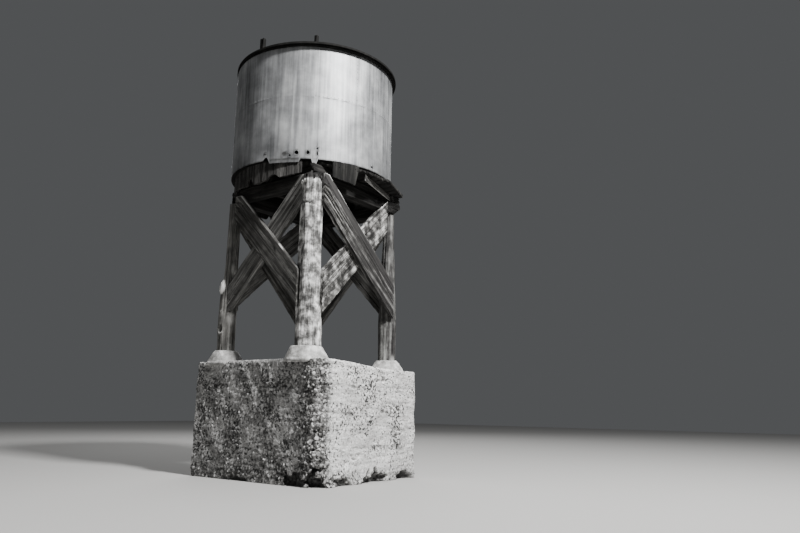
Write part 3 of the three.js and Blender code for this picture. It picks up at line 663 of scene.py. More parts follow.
print("Concrete block")
blockValues = {
    "halfX": 1.2415,
    "halfY": 1.015,
    "corners": [0.15, 0.05, 0.08, 0.05],  # near, right, back and left
    "top": ([-1.015, -0.426, 0.136, 1.015], [1.582, 1.548, 1.503, 1.490]),  # it sinks towards the back
    "step": 0.0135,
    "rows": 114,
    "topRings": 20,
    "bottomRings": (0.1, 0.4, 0.7, 0.82),
    "pourLines": (0.46, 0.90, 1.24),
    # the wall's lumps, as in the CAD: depth, and length along and up
    "setBack": 0.004,
    "swelling": (0.005, 0.108, 0.092),
    "rippling": (0.004, 0.061, 0.083),
    "chips": (0.052, 0.17, 0.074),  # off the near corner: depth, reach and spacing
    # hollows washed out of the foot: x, y, reach along, height and depth
    "hollows": [
        (0.860, -1.015, 0.190, 0.150, 0.095), (1.180, -1.015, 0.170, 0.170, 0.120),
        (1.241, -0.560, 0.150, 0.090, 0.060), (1.241, 0.080, 0.230, 0.130, 0.110),
        (1.241, 0.760, 0.160, 0.120, 0.090), (-0.300, -1.015, 0.260, 0.080, 0.050),
        (0.500, 1.015, 0.220, 0.120, 0.080), (-1.241, -0.200, 0.240, 0.110, 0.080)],
    "crumbs": 0.075,  # size of the lumps along the rims of the hollows
    # share of the stones that is laid bare
    "bareAll": 0.06,
    "bareFront": (0.26, 0.26),  # all over, and more in patches
    "bareHidden": 0.75,
    "bareCorner": (0.9, 0.26, 0.12),  # how much, how far from the corner, and how much less far on the right
    "bareFoot": (0.3, 0.30, 0.06),  # how much, and the levels where it begins and is full
    "barePour": (0.5, 0.03, 0.035),  # how much, how far above each pour line, and half the height of its band
    "patchSize": 0.16,
    "grainSize": 0.07,
    # relief, as size and depth
    "stones": (0.046, 0.019),
    "pocks": (0.075, 0.010),
    "pits": (0.036, 0.011),
    "pourGroove": (0.012, 0.012),
    "groupPits": ((0.1, 0.055, 0.035), 0.03),
    "topEdge": (0.035, 0.024),
    "topDents": (0.2, 0.012),
    "topPits": (0.07, 0.010),
    # groups of deep pits in the right-hand face: y, z and half their spread
    "pitGroups": [(0.42, 0.93, 0.34, 0.10), (0.58, 0.60, 0.14, 0.10), (-0.35, 0.35, 0.2, 0.12),
                  (0.1, 1.33, 0.3, 0.05)],
    "frontShade": (0.32, 0.10, 0.30),  # painted shade on the front face: how much, and how far from the corner it begins and is full
    "hollowShade": 0.85,  # painted shade in the hollows
}


def blockTopAt(y):
    return np.interp(y, *blockValues["top"])


# The block's outline seen from above, and the way out at each of its points
def blockOutline(values):
    halfX, halfY, radii = values["halfX"], values["halfY"], values["corners"]
    places, outs = [], []
    corners = (1, -1, -90), (1, 1, 0), (-1, 1, 90), (-1, -1, 180)
    for (cornerX, cornerY, turn), radius, nextRadius in zip(corners, radii, radii[1:] + radii[:1]):
        middle = np.array((cornerX * (halfX - radius), cornerY * (halfY - radius)))
        for angle in np.radians(np.linspace(turn, turn + 90, 8)):
            places.append(middle + radius * np.array((math.cos(angle), math.sin(angle))))
            outs.append((math.cos(angle), math.sin(angle)))
        side = 2 * (halfY if cornerX * cornerY < 0 else halfX) - radius - nextRadius
        number = int(side / values["step"])
        out = np.array((math.cos(math.radians(turn + 90)), math.sin(math.radians(turn + 90))))
        onward = np.array((-out[1], out[0]))
        for _ in range(1, number):
            places.append(places[-1] + onward * side / number)
            outs.append(tuple(out))
    return np.array(places), np.array(outs)


# Depth of the wall behind its outline, as in the CAD: lumps, chips off the near corner and washed-out hollows
def wallDepth(place, fromCorner, values):
    x, y, z = place[..., 0], place[..., 1], place[..., 2]
    depth, alongSize, upSize = values["swelling"]
    swelling = depth * np.sin((x + 1.3 * y) / alongSize + 1.3) * np.sin(z / upSize + 0.5)
    depth, alongSize, upSize = values["rippling"]
    rippling = depth * np.sin((x - y) / alongSize + z / upSize)
    depth, reach, spacing = values["chips"]
    chipped = depth * np.exp(-(fromCorner / reach) ** 2) * (0.5 + 0.5 * np.sin(z / spacing))
    washed = 0 * z
    crumbled = 0.98 + 2.0 * (roughNoise(place, values["crumbs"], 61) - 0.5)
    for hollowX, hollowY, reach, height, depth in values["hollows"]:
        along = np.hypot(x - hollowX, y - hollowY) / reach * crumbled
        washed = np.maximum(washed,
                            depth * np.sqrt(np.clip(1 - along ** 2 - (z / height * crumbled) ** 2, 0, 1)))
    return values["setBack"] + swelling + rippling + chipped + washed, washed


# Share of the stones that is laid bare at each point of the wall, from 0 to 1
def laidBare(place, toTop, fromCorner, front, right, patch, fine, values):
    levels = place[..., 2]
    everywhere, inPatches = values["bareFront"]
    exposed = values["bareAll"] + front * (everywhere + inPatches * smoothStep(0.38, 0.68, patch))
    exposed = exposed + (1 - front - right).clip(0, 1) * values["bareHidden"] * patch
    share, reach, lessRight = values["bareCorner"]
    exposed = exposed + share * np.exp(-(fromCorner / (reach - lessRight * right)) ** 2)
    share, begins, full = values["bareFoot"]
    exposed = exposed + share * smoothStep(begins, full, levels) * (0.4 + patch)
    share, above, halfBand = values["barePour"]
    for line in values["pourLines"]:
        bedding = np.exp(-((levels + 0.06 * patch - line - above) / halfBand) ** 2)
        exposed = exposed + share * bedding * smoothStep(0.5, 0.66, roughNoise(place, 0.12, 75))
    return np.clip(exposed * (0.55 + 0.9 * fine), 0, 1) * (1 - 0.5 * smoothStep(0.09, 0.0, toTop))


# How far stones, pocks, pits, pour lines and the worn top edge set the wall back
def wallRelief(place, toTop, right, fine, exposed, onStone, values):
    y, levels = place[..., 1], place[..., 2]
    relief = values["stones"][1] * exposed * (0.6 - onStone)
    size, depth = values["pocks"]
    relief += depth * (0.4 + exposed) * smoothStep(0.5, 0.75, roughNoise(place, size, 11))
    size, depth = values["pits"]
    relief += depth * smoothStep(0.58, 0.74, roughNoise(place, size, 21, 2))
    wander = 0.02 * roughNoise(place, 0.5, 31)
    size, depth = values["pourGroove"]
    for line in values["pourLines"]:
        relief += depth * roughNoise(place, 0.3, 37) * np.exp(-((levels + wander - line) / size) ** 2)
    size, depth = values["groupPits"]
    for middleY, middleZ, spreadY, spreadZ in values["pitGroups"]:
        group = right * np.exp(-((y - middleY) / spreadY) ** 2 - ((levels - middleZ) / spreadZ) ** 2)
        relief += depth * group * smoothStep(0.55, 0.68, roughNoise(place, size, 23, 2))
    size, depth = values["topEdge"]
    overEdge = np.clip((size - toTop) / size, 0, 1)
    return relief + depth * (1 - np.sqrt(1 - overEdge ** 2 * 0.98)) * (0.5 + fine)


# A value for every point of the block: those given for its wall, and one for its underside and top
def setWallValues(block, name, wallValues, flatValue, bottomCount, topCount):
    around = wallValues.shape[1]
    rows = [np.full((bottomCount, around), flatValue), wallValues, np.full((topCount, around), flatValue)]
    setValues(block, name, np.append(np.concatenate(rows).ravel(), (flatValue, flatValue)))


def addBlock(values):
    outline, outs = blockOutline(values)
    tops = blockTopAt(outline[:, 1])
    levels = np.linspace(0, 1, values["rows"])[:, None] * tops
    place = np.stack([outline[:, 0] + 0 * levels, outline[:, 1] + 0 * levels, levels], -1)
    toTop = tops - levels
    fromCorner = np.hypot(place[..., 0] - values["halfX"], place[..., 1] + values["halfY"])
    front, right = np.clip(-outs[:, 1], 0, 1), np.clip(outs[:, 0], 0, 1)
    patch = roughNoise(place, values["patchSize"], 71)
    fine = roughNoise(place, values["grainSize"], 73)
    exposed = laidBare(place, toTop, fromCorner, front, right, patch, fine, values)
    onStone, stoneTone = packedStones(place, values["stones"][0], 15)
    relief = wallRelief(place, toTop, right, fine, exposed, onStone, values)
    depth, washed = wallDepth(place, fromCorner, values)
    inward = depth / np.max(np.abs(place[..., :2]), axis=-1)
    wall = place.copy()
    wall[..., :2] = place[..., :2] * (1 - inward[..., None]) - outs * relief[..., None]
    bottom = [np.column_stack([outline * scale, 0 * tops]) for scale in values["bottomRings"]]
    top = []
    for step in range(1, values["topRings"]):
        flat = wall[-1, :, :2] * (1 - step / (values["topRings"] - 0.3))
        place = np.column_stack([flat, blockTopAt(flat[:, 1])])
        dents = values["topDents"][1] * roughNoise(place, values["topDents"][0], 81)
        pits = values["topPits"][1] * smoothStep(0.5, 0.75, roughNoise(place, values["topPits"][0], 91))
        top.append(place - (dents + pits)[:, None] * np.array((0, 0, 1)))
    block = skin("concreteBlock", np.concatenate([bottom, wall, top]))
    # near-black painted shade over the front face, fading towards the near corner, and in the foot's hollows
    share, begins, full = values["frontShade"]
    frontShade = share * front ** 6 * smoothStep(begins, full, fromCorner) * (0.9 + 0.2 * patch)
    paintedShade = np.maximum(smoothStep(0.012, 0.05, washed) * values["hollowShade"], frontShade)
    # the stones that stand free keep off the foot, the top edge and the hollows
    free = smoothStep(0.03, 0.07, levels), levels < tops - 0.03, washed < 0.02
    small = exposed * (1 - 0.35 * front * smoothStep(0.15, 0.4, fromCorner))
    atFoot = 0.8 * smoothStep(0.3, 0.1, levels) * np.exp(-(fromCorner / 0.8) ** 2)
    large = np.clip(np.exp(-(fromCorner / 0.2) ** 2) + atFoot, 0, 1)
    for name, wallValues, flatValue in (
            ("exposed", exposed, 0.3), ("onStone", onStone, 0.7), ("stoneTone", stoneTone, 0.6),
            ("paintedShade", paintedShade, 0.0), ("smallStones", small * free[0] * free[1] * free[2], 0.0),
            ("largeStones", large * free[0] * free[1] * free[2], 0.0)):
        setWallValues(block, name, wallValues, flatValue, len(bottom), len(top))
    return block


block = addBlock(blockValues)

stoneValues = {
    "exposedStones": {"Share": "smallStones", "Density": 210.0, "Size": 0.015, "Seed": 5},
    "cornerStones": {"Share": "largeStones", "Density": 110.0, "Size": 0.026, "Seed": 8},
    # every stone's scale and turn, from and to: long and wide along the wall, and flatter than it is wide
    "scales": ((0.5, 0.5, 0.35), (1.5, 1.3, 0.8)),
    "turns": ((-0.5, -0.5, 0.0), (0.5, 0.5, 6.28)),
    "roughness": (42.0, 0.026),  # of its surface: scale and strength
}


# A Geometry Nodes tree that takes a mesh and named values and gives a mesh
def newTree(name, inputs):
    tree = bpy.data.node_groups.new(name, "GeometryNodeTree")
    for inputName, kind in [("Geometry", "Geometry")] + inputs:
        tree.interface.new_socket(inputName, in_out="INPUT", socket_type="NodeSocket" + kind)
    tree.interface.new_socket("Geometry", in_out="OUTPUT", socket_type="NodeSocketGeometry")
    return tree, addNode(tree, "NodeGroupInput").outputs


# Geometry Nodes: stones of one size range set over a surface, closer together where an attribute is high
def stoneScatter(material):
    tree, given = newTree("stoneScatter",
                          [("Share", "String"), ("Density", "Float"), ("Size", "Float"), ("Seed", "Int")])
    smallest, largest = stoneValues["scales"]
    leastTurn, mostTurn = stoneValues["turns"]
    lumpScale, lumpStrength = stoneValues["roughness"]
    share = addNode(tree, "GeometryNodeInputNamedAttribute", {"Name": given["Share"]},
                    data_type="FLOAT").outputs["Attribute"]
    shareCurve = addNode(tree, "ShaderNodeMath", {0: share, 1: 1.6}, operation="POWER").outputs[0]
    density = addNode(tree, "ShaderNodeMath", {0: given["Density"], 1: shareCurve},
                      operation="MULTIPLY").outputs[0]
    spread = addNode(tree, "GeometryNodeDistributePointsOnFaces",
                     {"Mesh": given["Geometry"], "Density": density, "Seed": given["Seed"]})
    stone = addNode(tree, "GeometryNodeMeshIcoSphere", {"Radius": given["Size"], "Subdivisions": 2})
    sizes = addNode(tree, "FunctionNodeRandomValue", {0: smallest, 1: largest}, data_type="FLOAT_VECTOR")
    turns = addNode(tree, "FunctionNodeRandomValue", {0: leastTurn, 1: mostTurn}, data_type="FLOAT_VECTOR")
    ownTurn = addNode(tree, "FunctionNodeEulerToRotation", {0: turns.outputs[0]}).outputs[0]
    turned = addNode(tree, "FunctionNodeRotateRotation", {0: spread.outputs["Rotation"], 1: ownTurn},
                     rotation_space="LOCAL")
    placed = addNode(tree, "GeometryNodeInstanceOnPoints", {
        "Points": spread.outputs["Points"], "Instance": stone.outputs["Mesh"],
        "Rotation": turned.outputs[0], "Scale": sizes.outputs[0]})
    real = addNode(tree, "GeometryNodeRealizeInstances", {0: placed.outputs[0]})
    lumps = addNode(tree, "ShaderNodeTexNoise", {"Scale": lumpScale, "Detail": 1.0}).outputs["Color"]
    pushed = addNode(tree, "ShaderNodeVectorMath", {0: lumps, 1: (0.5, 0.5, 0.5)},
                     operation="SUBTRACT").outputs[0]
    offset = addNode(tree, "ShaderNodeVectorMath", {0: pushed, "Scale": lumpStrength},
                     operation="SCALE").outputs[0]
    rough = addNode(tree, "GeometryNodeSetPosition", {"Geometry": real.outputs[0], "Offset": offset})
    finished = addNode(tree, "GeometryNodeSetMaterial", {0: rough.outputs[0], "Material": material})
    addNode(tree, "NodeGroupOutput", {0: finished.outputs[0]})
    return tree


# Runs a node tree on a copy of a mesh and gives the result as a plain mesh
def grown(name, source, tree, inputs):
    piece = newObject(name, source.data.copy())
    modifier = piece.modifiers.new("grown", "NODES")
    modifier.node_group = tree
    for item in tree.interface.items_tree:
        if item.item_type == "SOCKET" and item.in_out == "INPUT" and item.name in inputs:
            modifier[item.identifier] = inputs[item.name]
    applyModifiers(piece)
    return piece


stoneTree = stoneScatter(gravel)
for name in ("exposedStones", "cornerStones"):
    finishPiece(grown(name, block, stoneTree, stoneValues[name]), gravel, sharp=180)
finishPiece(block, concrete, ["base_block"], 180)


# Geometry Nodes: a round head on every point, standing along the point's out attribute
def headTree(material):
    tree, given = newTree("roundHeads", [("Radius", "Float"), ("Rise", "Float")])
    out = addNode(tree, "GeometryNodeInputNamedAttribute", {"Name": "out"},
                  data_type="FLOAT_VECTOR").outputs["Attribute"]
    turned = addNode(tree, "FunctionNodeAlignRotationToVector", {"Vector": out}, axis="Z").outputs[0]
    head = addNode(tree, "GeometryNodeMeshUVSphere", {"Segments": 8, "Rings": 4, "Radius": 1.0})
    size = addNode(tree, "ShaderNodeCombineXYZ",
                   {0: given["Radius"], 1: given["Radius"], 2: given["Rise"]}).outputs[0]
    placed = addNode(tree, "GeometryNodeInstanceOnPoints", {
        "Points": given["Geometry"], "Instance": head.outputs["Mesh"], "Rotation": turned, "Scale": size})
    real = addNode(tree, "GeometryNodeRealizeInstances", {0: placed.outputs[0]})
    finished = addNode(tree, "GeometryNodeSetMaterial", {0: real.outputs[0], "Material": material})
    addNode(tree, "NodeGroupOutput", {0: finished.outputs[0]})
    return tree


steelHeads, zincHeads = headTree(rustAndShadeSteel), headTree(zinc)


# Nails, bolts or rivets at a list of (place, way out)
def addHeads(name, heads, radius, rise, tree, material, slotName):
    mesh = bpy.data.meshes.new(name + "Points")
    mesh.from_pydata([tuple(place) for place, _ in heads], [], [])
    outs = mesh.attributes.new("out", "FLOAT_VECTOR", "POINT")
    outs.data.foreach_set("vector", np.array([out for _, out in heads], np.float32).ravel())
    points = bpy.data.objects.new(name + "Points", mesh)
    piece = grown(name, points, tree, {"Radius": radius, "Rise": rise})
    bpy.data.objects.remove(points)
    return finishPiece(piece, material, sharp=60)


print("Posts and their mortar pads")
postValues = {
    "around": 120,
    "rise": 0.012,
    "sunk": 0.03,  # how deep the foot stands in the block
    "sway": (0.05, (0.16, 0.16, 0.5)),  # as a share of the radius, and its size along x, y and z
    "ripples": (0.008, (0.020, 0.020, 0.4)),
    # drying splits: how many, how far they run, their depth, and half their width at the top and bottom
    "splits": (11, (0.3, 1.1), (0.010, 0.022), (0.012, 0.002)),
    "markRadius": 0.13,  # where the width of a knot or worn place is measured
    "holeFrom": -0.04,  # a knot that goes in further than this is a hole whose lower lip is painted pale: a painted highlight
    "crackDepth": 0.014,
    "splinters": (0.05, (0.014, 0.03, 1)),  # on a broken top: length and size
    # knots: level, degrees from the front towards the right, half their width and height, and how far out they
    # stand. worn: the same, where the wood is painted pale, and how pale: partly worn wood and partly a
    # painted highlight
    "near": {
        "x": 0.783, "y": -0.866, "seed": 101, "material": paleLog,
        "radii": [(1.5, 0.178), (1.8, 0.172), (2.2, 0.175), (2.35, 0.160), (4.0, 0.157)],
        "knots": [(2.19, 95, 0.10, 0.11, 0.012), (3.05, -40, 0.07, 0.09, 0.012),
                  (3.68, -22, 0.03, 0.035, 0.012), (2.75, 60, 0.08, 0.1, -0.010),
                  (1.80, 130, 0.20, 0.46, 0.029), (1.85, -46, 0.14, 0.50, -0.026)],
        "hewn": (-22, 37, 2.15, 3.96),  # a flat down its side: middle, half its width, and levels
        "crack": (-30, 3.690, 88, 3.612),  # degrees and level at either end
        # the ragged line where its top has broken off: places across its width, and the levels there
        "broken": (
            [-0.20, -0.16, -0.125, -0.10, -0.075, -0.055, -0.030, -0.012, 0.002,
             0.010, 0.034, 0.042, 0.062, 0.085, 0.105, 0.13, 0.16, 0.20],
            [3.970, 3.985, 3.988, 4.010, 4.018, 4.065, 4.085, 4.122, 4.115,
             3.985, 3.987, 4.062, 4.058, 4.020, 4.000, 3.975, 3.960, 3.950]),
    },
    "left": {
        "x": -0.802, "y": -0.852, "seed": 202, "material": greyLog,
        "radii": [(1.5, 0.135), (2.0, 0.133), (2.45, 0.124), (2.64, 0.116), (2.82, 0.102), (3.0, 0.091),
                  (4.0, 0.086)],
        "knots": [(2.665, -22, 0.085, 0.135, 0.036), (2.96, 48, 0.05, 0.09, 0.012),
                  (2.27, -10, 0.06, 0.07, 0.014), (2.42, -45, 0.14, 0.30, 0.014),
                  (2.10, -50, 0.14, 0.22, 0.012), (2.050, -5, 0.044, 0.062, -0.055),
                  (1.985, 4, 0.05, 0.022, 0.012), (1.925, -8, 0.026, 0.055, -0.040),
                  (1.826, 74, 0.02, 0.02, -0.015), (2.26, 80, 0.13, 0.035, 0.010)],
        "hewn": (135, 36, 1.2, 2.33),
        # the limb stub is painted near-white: its pale face with a painted highlight on it
        "worn": [(2.665, -22, 0.085, 0.135, 0.95), (2.19, 66, 0.09, 0.13, 0.45), (2.93, 58, 0.05, 0.13, 0.4)],
    },
    "right": {
        "x": 0.802, "y": 0.852, "seed": 303, "material": shadedLog,
        "radii": [(1.5, 0.126), (2.19, 0.138), (2.7, 0.122), (3.1, 0.104), (3.5, 0.084), (4.0, 0.080)],
        "knots": [(2.9, 30, 0.07, 0.08, 0.012), (2.3, 80, 0.09, 0.1, -0.01)],
        "worn": [(1.62, 85, 0.09, 0.16, 0.45)],
    },
    "back": {
        "x": -0.802, "y": 0.852, "seed": 404, "material": greyLog,
        "radii": [(1.5, 0.150), (2.5, 0.140), (4.0, 0.118)],
        "knots": [(2.4, 200, 0.09, 0.1, 0.02), (3.2, 120, 0.07, 0.09, 0.015)],
    },
}
seatLow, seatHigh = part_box("beam_front")[0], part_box("beam_back")[1]
nearCornerTurn = math.radians(43.9)


# What has broken away from a post's top: a box over the ragged line, with splinters along its underside
def splinterCutter(post, places, levels, seed, reach=0.36, above=4.13):
    across = np.linspace(places[0], places[-1], 90)
    deep = np.linspace(-reach, reach, 90)
    uu, vv = np.meshgrid(across, deep, indexing="ij")
    length, size = postValues["splinters"]
    splinters = length * (roughNoise(np.stack([uu, vv, uu * 0], -1), size, seed) - 0.58)
    under = np.stack([uu, vv, np.minimum(np.interp(uu, places, levels) + splinters, above - 0.002)], -1)
    over = [np.stack([across, across * 0 + side, across * 0 + above], -1)[:, None]
            for side in (reach, -reach)]
    rings = np.concatenate([under] + over, axis=1)
    cosine, sine = math.cos(nearCornerTurn), math.sin(nearCornerTurn)
    turn = np.array(((cosine, -sine), (sine, cosine)))
    rings[..., :2] = rings[..., :2] @ turn.T + np.array((post["x"], post["y"]))
    return skin("splinterCutter", rings)


# How far each point of a post is from the middle of a knot or worn place, whose edge is at 1
def fromMark(aa, zz, level, angle, halfWidth, halfHeight):
    gap = shortTurn(aa - math.radians(angle)) * postValues["markRadius"]
    return np.hypot(gap / halfWidth, (zz - level) / halfHeight)


# A barked log: slight sways, knots and drying splits that run up the grain
def addPost(side, values):
    node = "post_" + side
    seed = values["seed"]
    foot, top = blockTopAt(values["y"]) - postValues["sunk"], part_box(node)[1].z - 0.0005
    levels = np.linspace(foot, top, int((top - foot) / postValues["rise"]))
    zz, aa = np.meshgrid(levels, allRound(postValues["around"]), indexing="ij")
    degrees = (np.degrees(aa) + 180) % 360 - 180
    place = np.stack([np.sin(aa) * 0.15, -np.cos(aa) * 0.15, zz], -1)
    radius = np.interp(zz, *np.transpose(values["radii"]))
    sway, size = postValues["sway"]
    radius = radius * (1 + sway * (roughNoise(place, size, seed) - 0.5))
    depth, size = postValues["ripples"]
    radius -= depth * smoothStep(0.5, 0.8, roughNoise(place, size, seed + 3))
    random = np.random.default_rng(seed)
    number, reaches, depths, widths = postValues["splits"]
    wander = 0.05 * (lineNoise(zz, 0.35, seed + 7) - 0.5)
    for _ in range(number):
        angle, middle = random.uniform(0, 2 * math.pi), random.uniform(foot, top)
        reach = random.uniform(*reaches)
        gap = np.abs(shortTurn(aa - angle + wander)) * radius
        along = smoothStep(reach, reach * 0.6, np.abs(zz - middle))
        radius -= random.uniform(*depths) * along * smoothStep(*widths, gap)
    paleWearAndHighlight = 0 * zz
    for level, angle, halfWidth, halfHeight, stand in values["knots"]:
        distance = fromMark(aa, zz, level, angle, halfWidth, halfHeight)
        radius += stand * smoothStep(1.0, 0.3 if stand > 0 else 0.55, distance)
        if stand < postValues["holeFrom"]:
            # only the lip below the hole is painted pale: a painted highlight where light falls on it
            lip = 0.5 * smoothStep(0.8, 1.0, distance) * smoothStep(1.4, 1.1, distance)
            paleWearAndHighlight = np.maximum(paleWearAndHighlight, lip * smoothStep(0.3 * halfHeight, 0.9 * halfHeight, level - zz))
    streaks = 0.3 * (roughNoise(place, (0.008, 0.008, 0.12), seed + 30) - 0.5)
    # pale places painted on: worn wood with a painted highlight on it
    for level, angle, halfWidth, halfHeight, pale in values.get("worn", ()):
        distance = fromMark(aa, zz, level, angle, halfWidth, halfHeight)
        paleWearAndHighlight = np.maximum(paleWearAndHighlight, pale * smoothStep(0.92, 0.74 * pale ** 2, distance + streaks))
    if "hewn" in values:
        middle, halfAngle, lowLevel, highLevel = values["hewn"]
        off = (np.degrees(aa) - middle + 180) % 360 - 180
        flat = np.cos(math.radians(halfAngle)) / np.cos(np.radians(np.clip(off, -halfAngle, halfAngle)))
        share = smoothStep(lowLevel - 0.25, lowLevel + 0.1, zz) * (zz < highLevel)
        radius = radius * (1 - share * (np.abs(off) < halfAngle) * (1 - flat))
    if "crack" in values:
        startAngle, startLevel, endAngle, endLevel = values["crack"]
        line = np.interp(degrees, [startAngle, endAngle], [startLevel, endLevel])
        line = line + 0.02 * (lineNoise(degrees, 22, seed + 9) - 0.5)
        on = (degrees > startAngle) & (degrees < endAngle)
        radius -= postValues["crackDepth"] * on * smoothStep(0.013, 0.003, np.abs(zz - line))
    rings = ringAt(values["x"], values["y"], radius, aa, zz)
    post = skin("log_" + side, rings)
    setValues(post, "paleWearAndHighlight", np.append(paleWearAndHighlight.ravel(), (0, 0)))
    faceNames = ["front", "back"][values["y"] > 0], ["left", "right"][values["x"] > 0]
    cutters = [solidCopy(f"brace_{face}_{layer}") for face in faceNames for layer in ("inner", "outer")]
    # the beams' seat in its top
    cutters.append(boxCutter((seatLow.x - 0.2, seatLow.y - 0.0003, seatLow.z - 0.0003),
                             (seatHigh.x + 0.0003, seatHigh.y + 0.0003, 4.4)))
    if "broken" in values:
        cutters.append(splinterCutter(values, *values["broken"], seed + 20))
    carve(post, cutters)
    # the broken top above 4.0 m takes the dark sawn colour: painted shade
    if "broken" in values:
        setValues(post, "sawnAndShade", smoothStep(3.988, 4.012, pointsOf(post)[:, 2]))
    setGrain(post, (0, 0, 1), seed)
    return finishPiece(post, values["material"], [node], 60)


padValues = {
    "around": 96,
    "radius": 0.285,
    "rise": 0.172,
    "run": {"near": (34.4, 0.062)},  # the side on which it has run out further: degrees from +X, and how far
    "overhang": 0.6,
    "hang": 0.03,
    "dents": (0.12, 0.022),  # size and depth of the marks in its side
    "lumps": (0.07, 0.024),  # and of those in its top
}


# Mortar heaped round the foot of a post and smoothed by hand, which has run down over the block's edge
def addPad(side, values):
    level, seed, halfY = blockTopAt(values["y"]), values["seed"], blockValues["halfY"]
    reach, rise = padValues["radius"] - 0.003, padValues["rise"]
    inner = np.interp(level, *np.transpose(values["radii"])) * 0.985
    around = allRound(padValues["around"])
    profile = [(inner, -0.02), (inner, rise * 0.5), (inner, rise - 0.004), (inner + 0.012, rise)]
    for share in np.linspace(0.06, 1, 16):
        outward = inner + (reach - inner) * (0.1 + 0.9 * share ** 0.9)
        profile.append((outward, (rise + 0.01) * (1 - share ** 1.3) - 0.004 * share))
    profile += [(reach + 0.002, -0.02), (reach - 0.012, -0.021)]
    dentSize, dentDepth = padValues["dents"]
    lumpSize, lumpDepth = padValues["lumps"]
    rings = []
    for row, (radius, height) in enumerate(profile):
        place = np.stack([np.sin(around) * radius + values["x"] * 5, np.cos(around) * radius,
                          around * 0 + height], -1)
        shown = 1.0 if 3 <= row < len(profile) - 2 else 0.0
        fade = np.clip((radius - inner) / 0.08, 0, 1)
        radii = radius - shown * dentDepth * roughNoise(place, dentSize, seed) * fade
        heights = height - shown * lumpDepth * (roughNoise(place, lumpSize, seed + 1) if height > 0.01 else 0)
        out = np.stack([radii * np.sin(around), -radii * np.cos(around)], -1)
        if side in padValues["run"]:
            degrees, run = padValues["run"][side]
            way = np.array((math.cos(math.radians(degrees)), math.sin(math.radians(degrees))))
            out += np.outer(run * (np.clip(out @ way, 0, 1) / padValues["radius"]) ** 2, way)
        x, y = values["x"] + out[:, 0], values["y"] + out[:, 1]
        over = np.clip(np.abs(y) - halfY, 0, 1)
        held = -0.015 if row == len(profile) - 1 else over * padValues["overhang"]
        y = np.where(over > 0, np.sign(y) * (halfY + held), y)
        ground = blockTopAt(np.clip(y, -halfY, halfY))
        base = level + (ground - level) * (1 - np.clip(height / rise, 0, 1))
        if row >= len(profile) - 2:
            ragged = 0.6 + 0.8 * lineNoise(around * 0.3, 0.06, seed + 2)
            heights = heights - padValues["hang"] * ragged * smoothStep(0.0, 0.04, over)
        rings.append(np.column_stack([x, y, base + heights]))
    pad = skin("mortarPad_" + side, np.array(rings)[::-1], loop=True)
    return finishPiece(pad, mortar, ["pad_" + side], 180)


for side in ("near", "left", "right", "back"):
    addPost(side, postValues[side])
    addPad(side, postValues[side])


print("Crossed braces")
faceTurns = {"front": 0, "right": 90, "back": 180, "left": 270}
braceValues = {
    # finish, number of splits and seed
    "brace_front_outer": (greyPlank, 2, 11), "brace_front_inner": (wornPlank, 2, 12),
    "brace_right_outer": (splitPlank, 1, 13), "brace_right_inner": (palePlank, 3, 14),
    "brace_back_outer": (wornPlank, 4, 15), "brace_back_inner": (greyPlank, 3, 16),
    "brace_left_outer": (wornPlank, 3, 17), "brace_left_inner": (greyPlank, 4, 18),
    "rag": 0.03,
    # deep splits that open from a brace's end: from its start, length, place across, lean and depth
    "ownSplits": {
        "brace_right_outer": [(True, 0.38, 0.20, 0.10, 0.04), (True, 0.30, 0.33, 0.05, 0.04),
                              (True, 0.44, 0.47, 0.04, 0.035), (True, 0.20, 0.60, 0.0, 0.03)],
        "brace_front_inner": [(False, 0.6, 0.72, 0.0, 0.02), (False, 0.45, 0.3, 0.0, 0.015)],
        "brace_front_outer": [(True, 0.6, 0.75, 0.0, 0.015)],
    },
    # where the upper edge still has its sawn strip, as a share of the width, and how smooth the far end is
    "smoothStrips": {"brace_right_outer": (0.66, 0.65)},
    # how pale the upper edge is painted: a painted highlight
    "paleEdge": 0.7,
    # nails at either end: how far in, each one's share of the width and shift along, and their radius and rise
    "nailsIn": 0.13,
    "nails": [(0.2, -0.05), (0.35, 0.05), (0.5, -0.02), (0.65, 0.05), (0.8, -0.04)],
    "nailHead": (0.009, 0.006),
}
nailPlaces = []


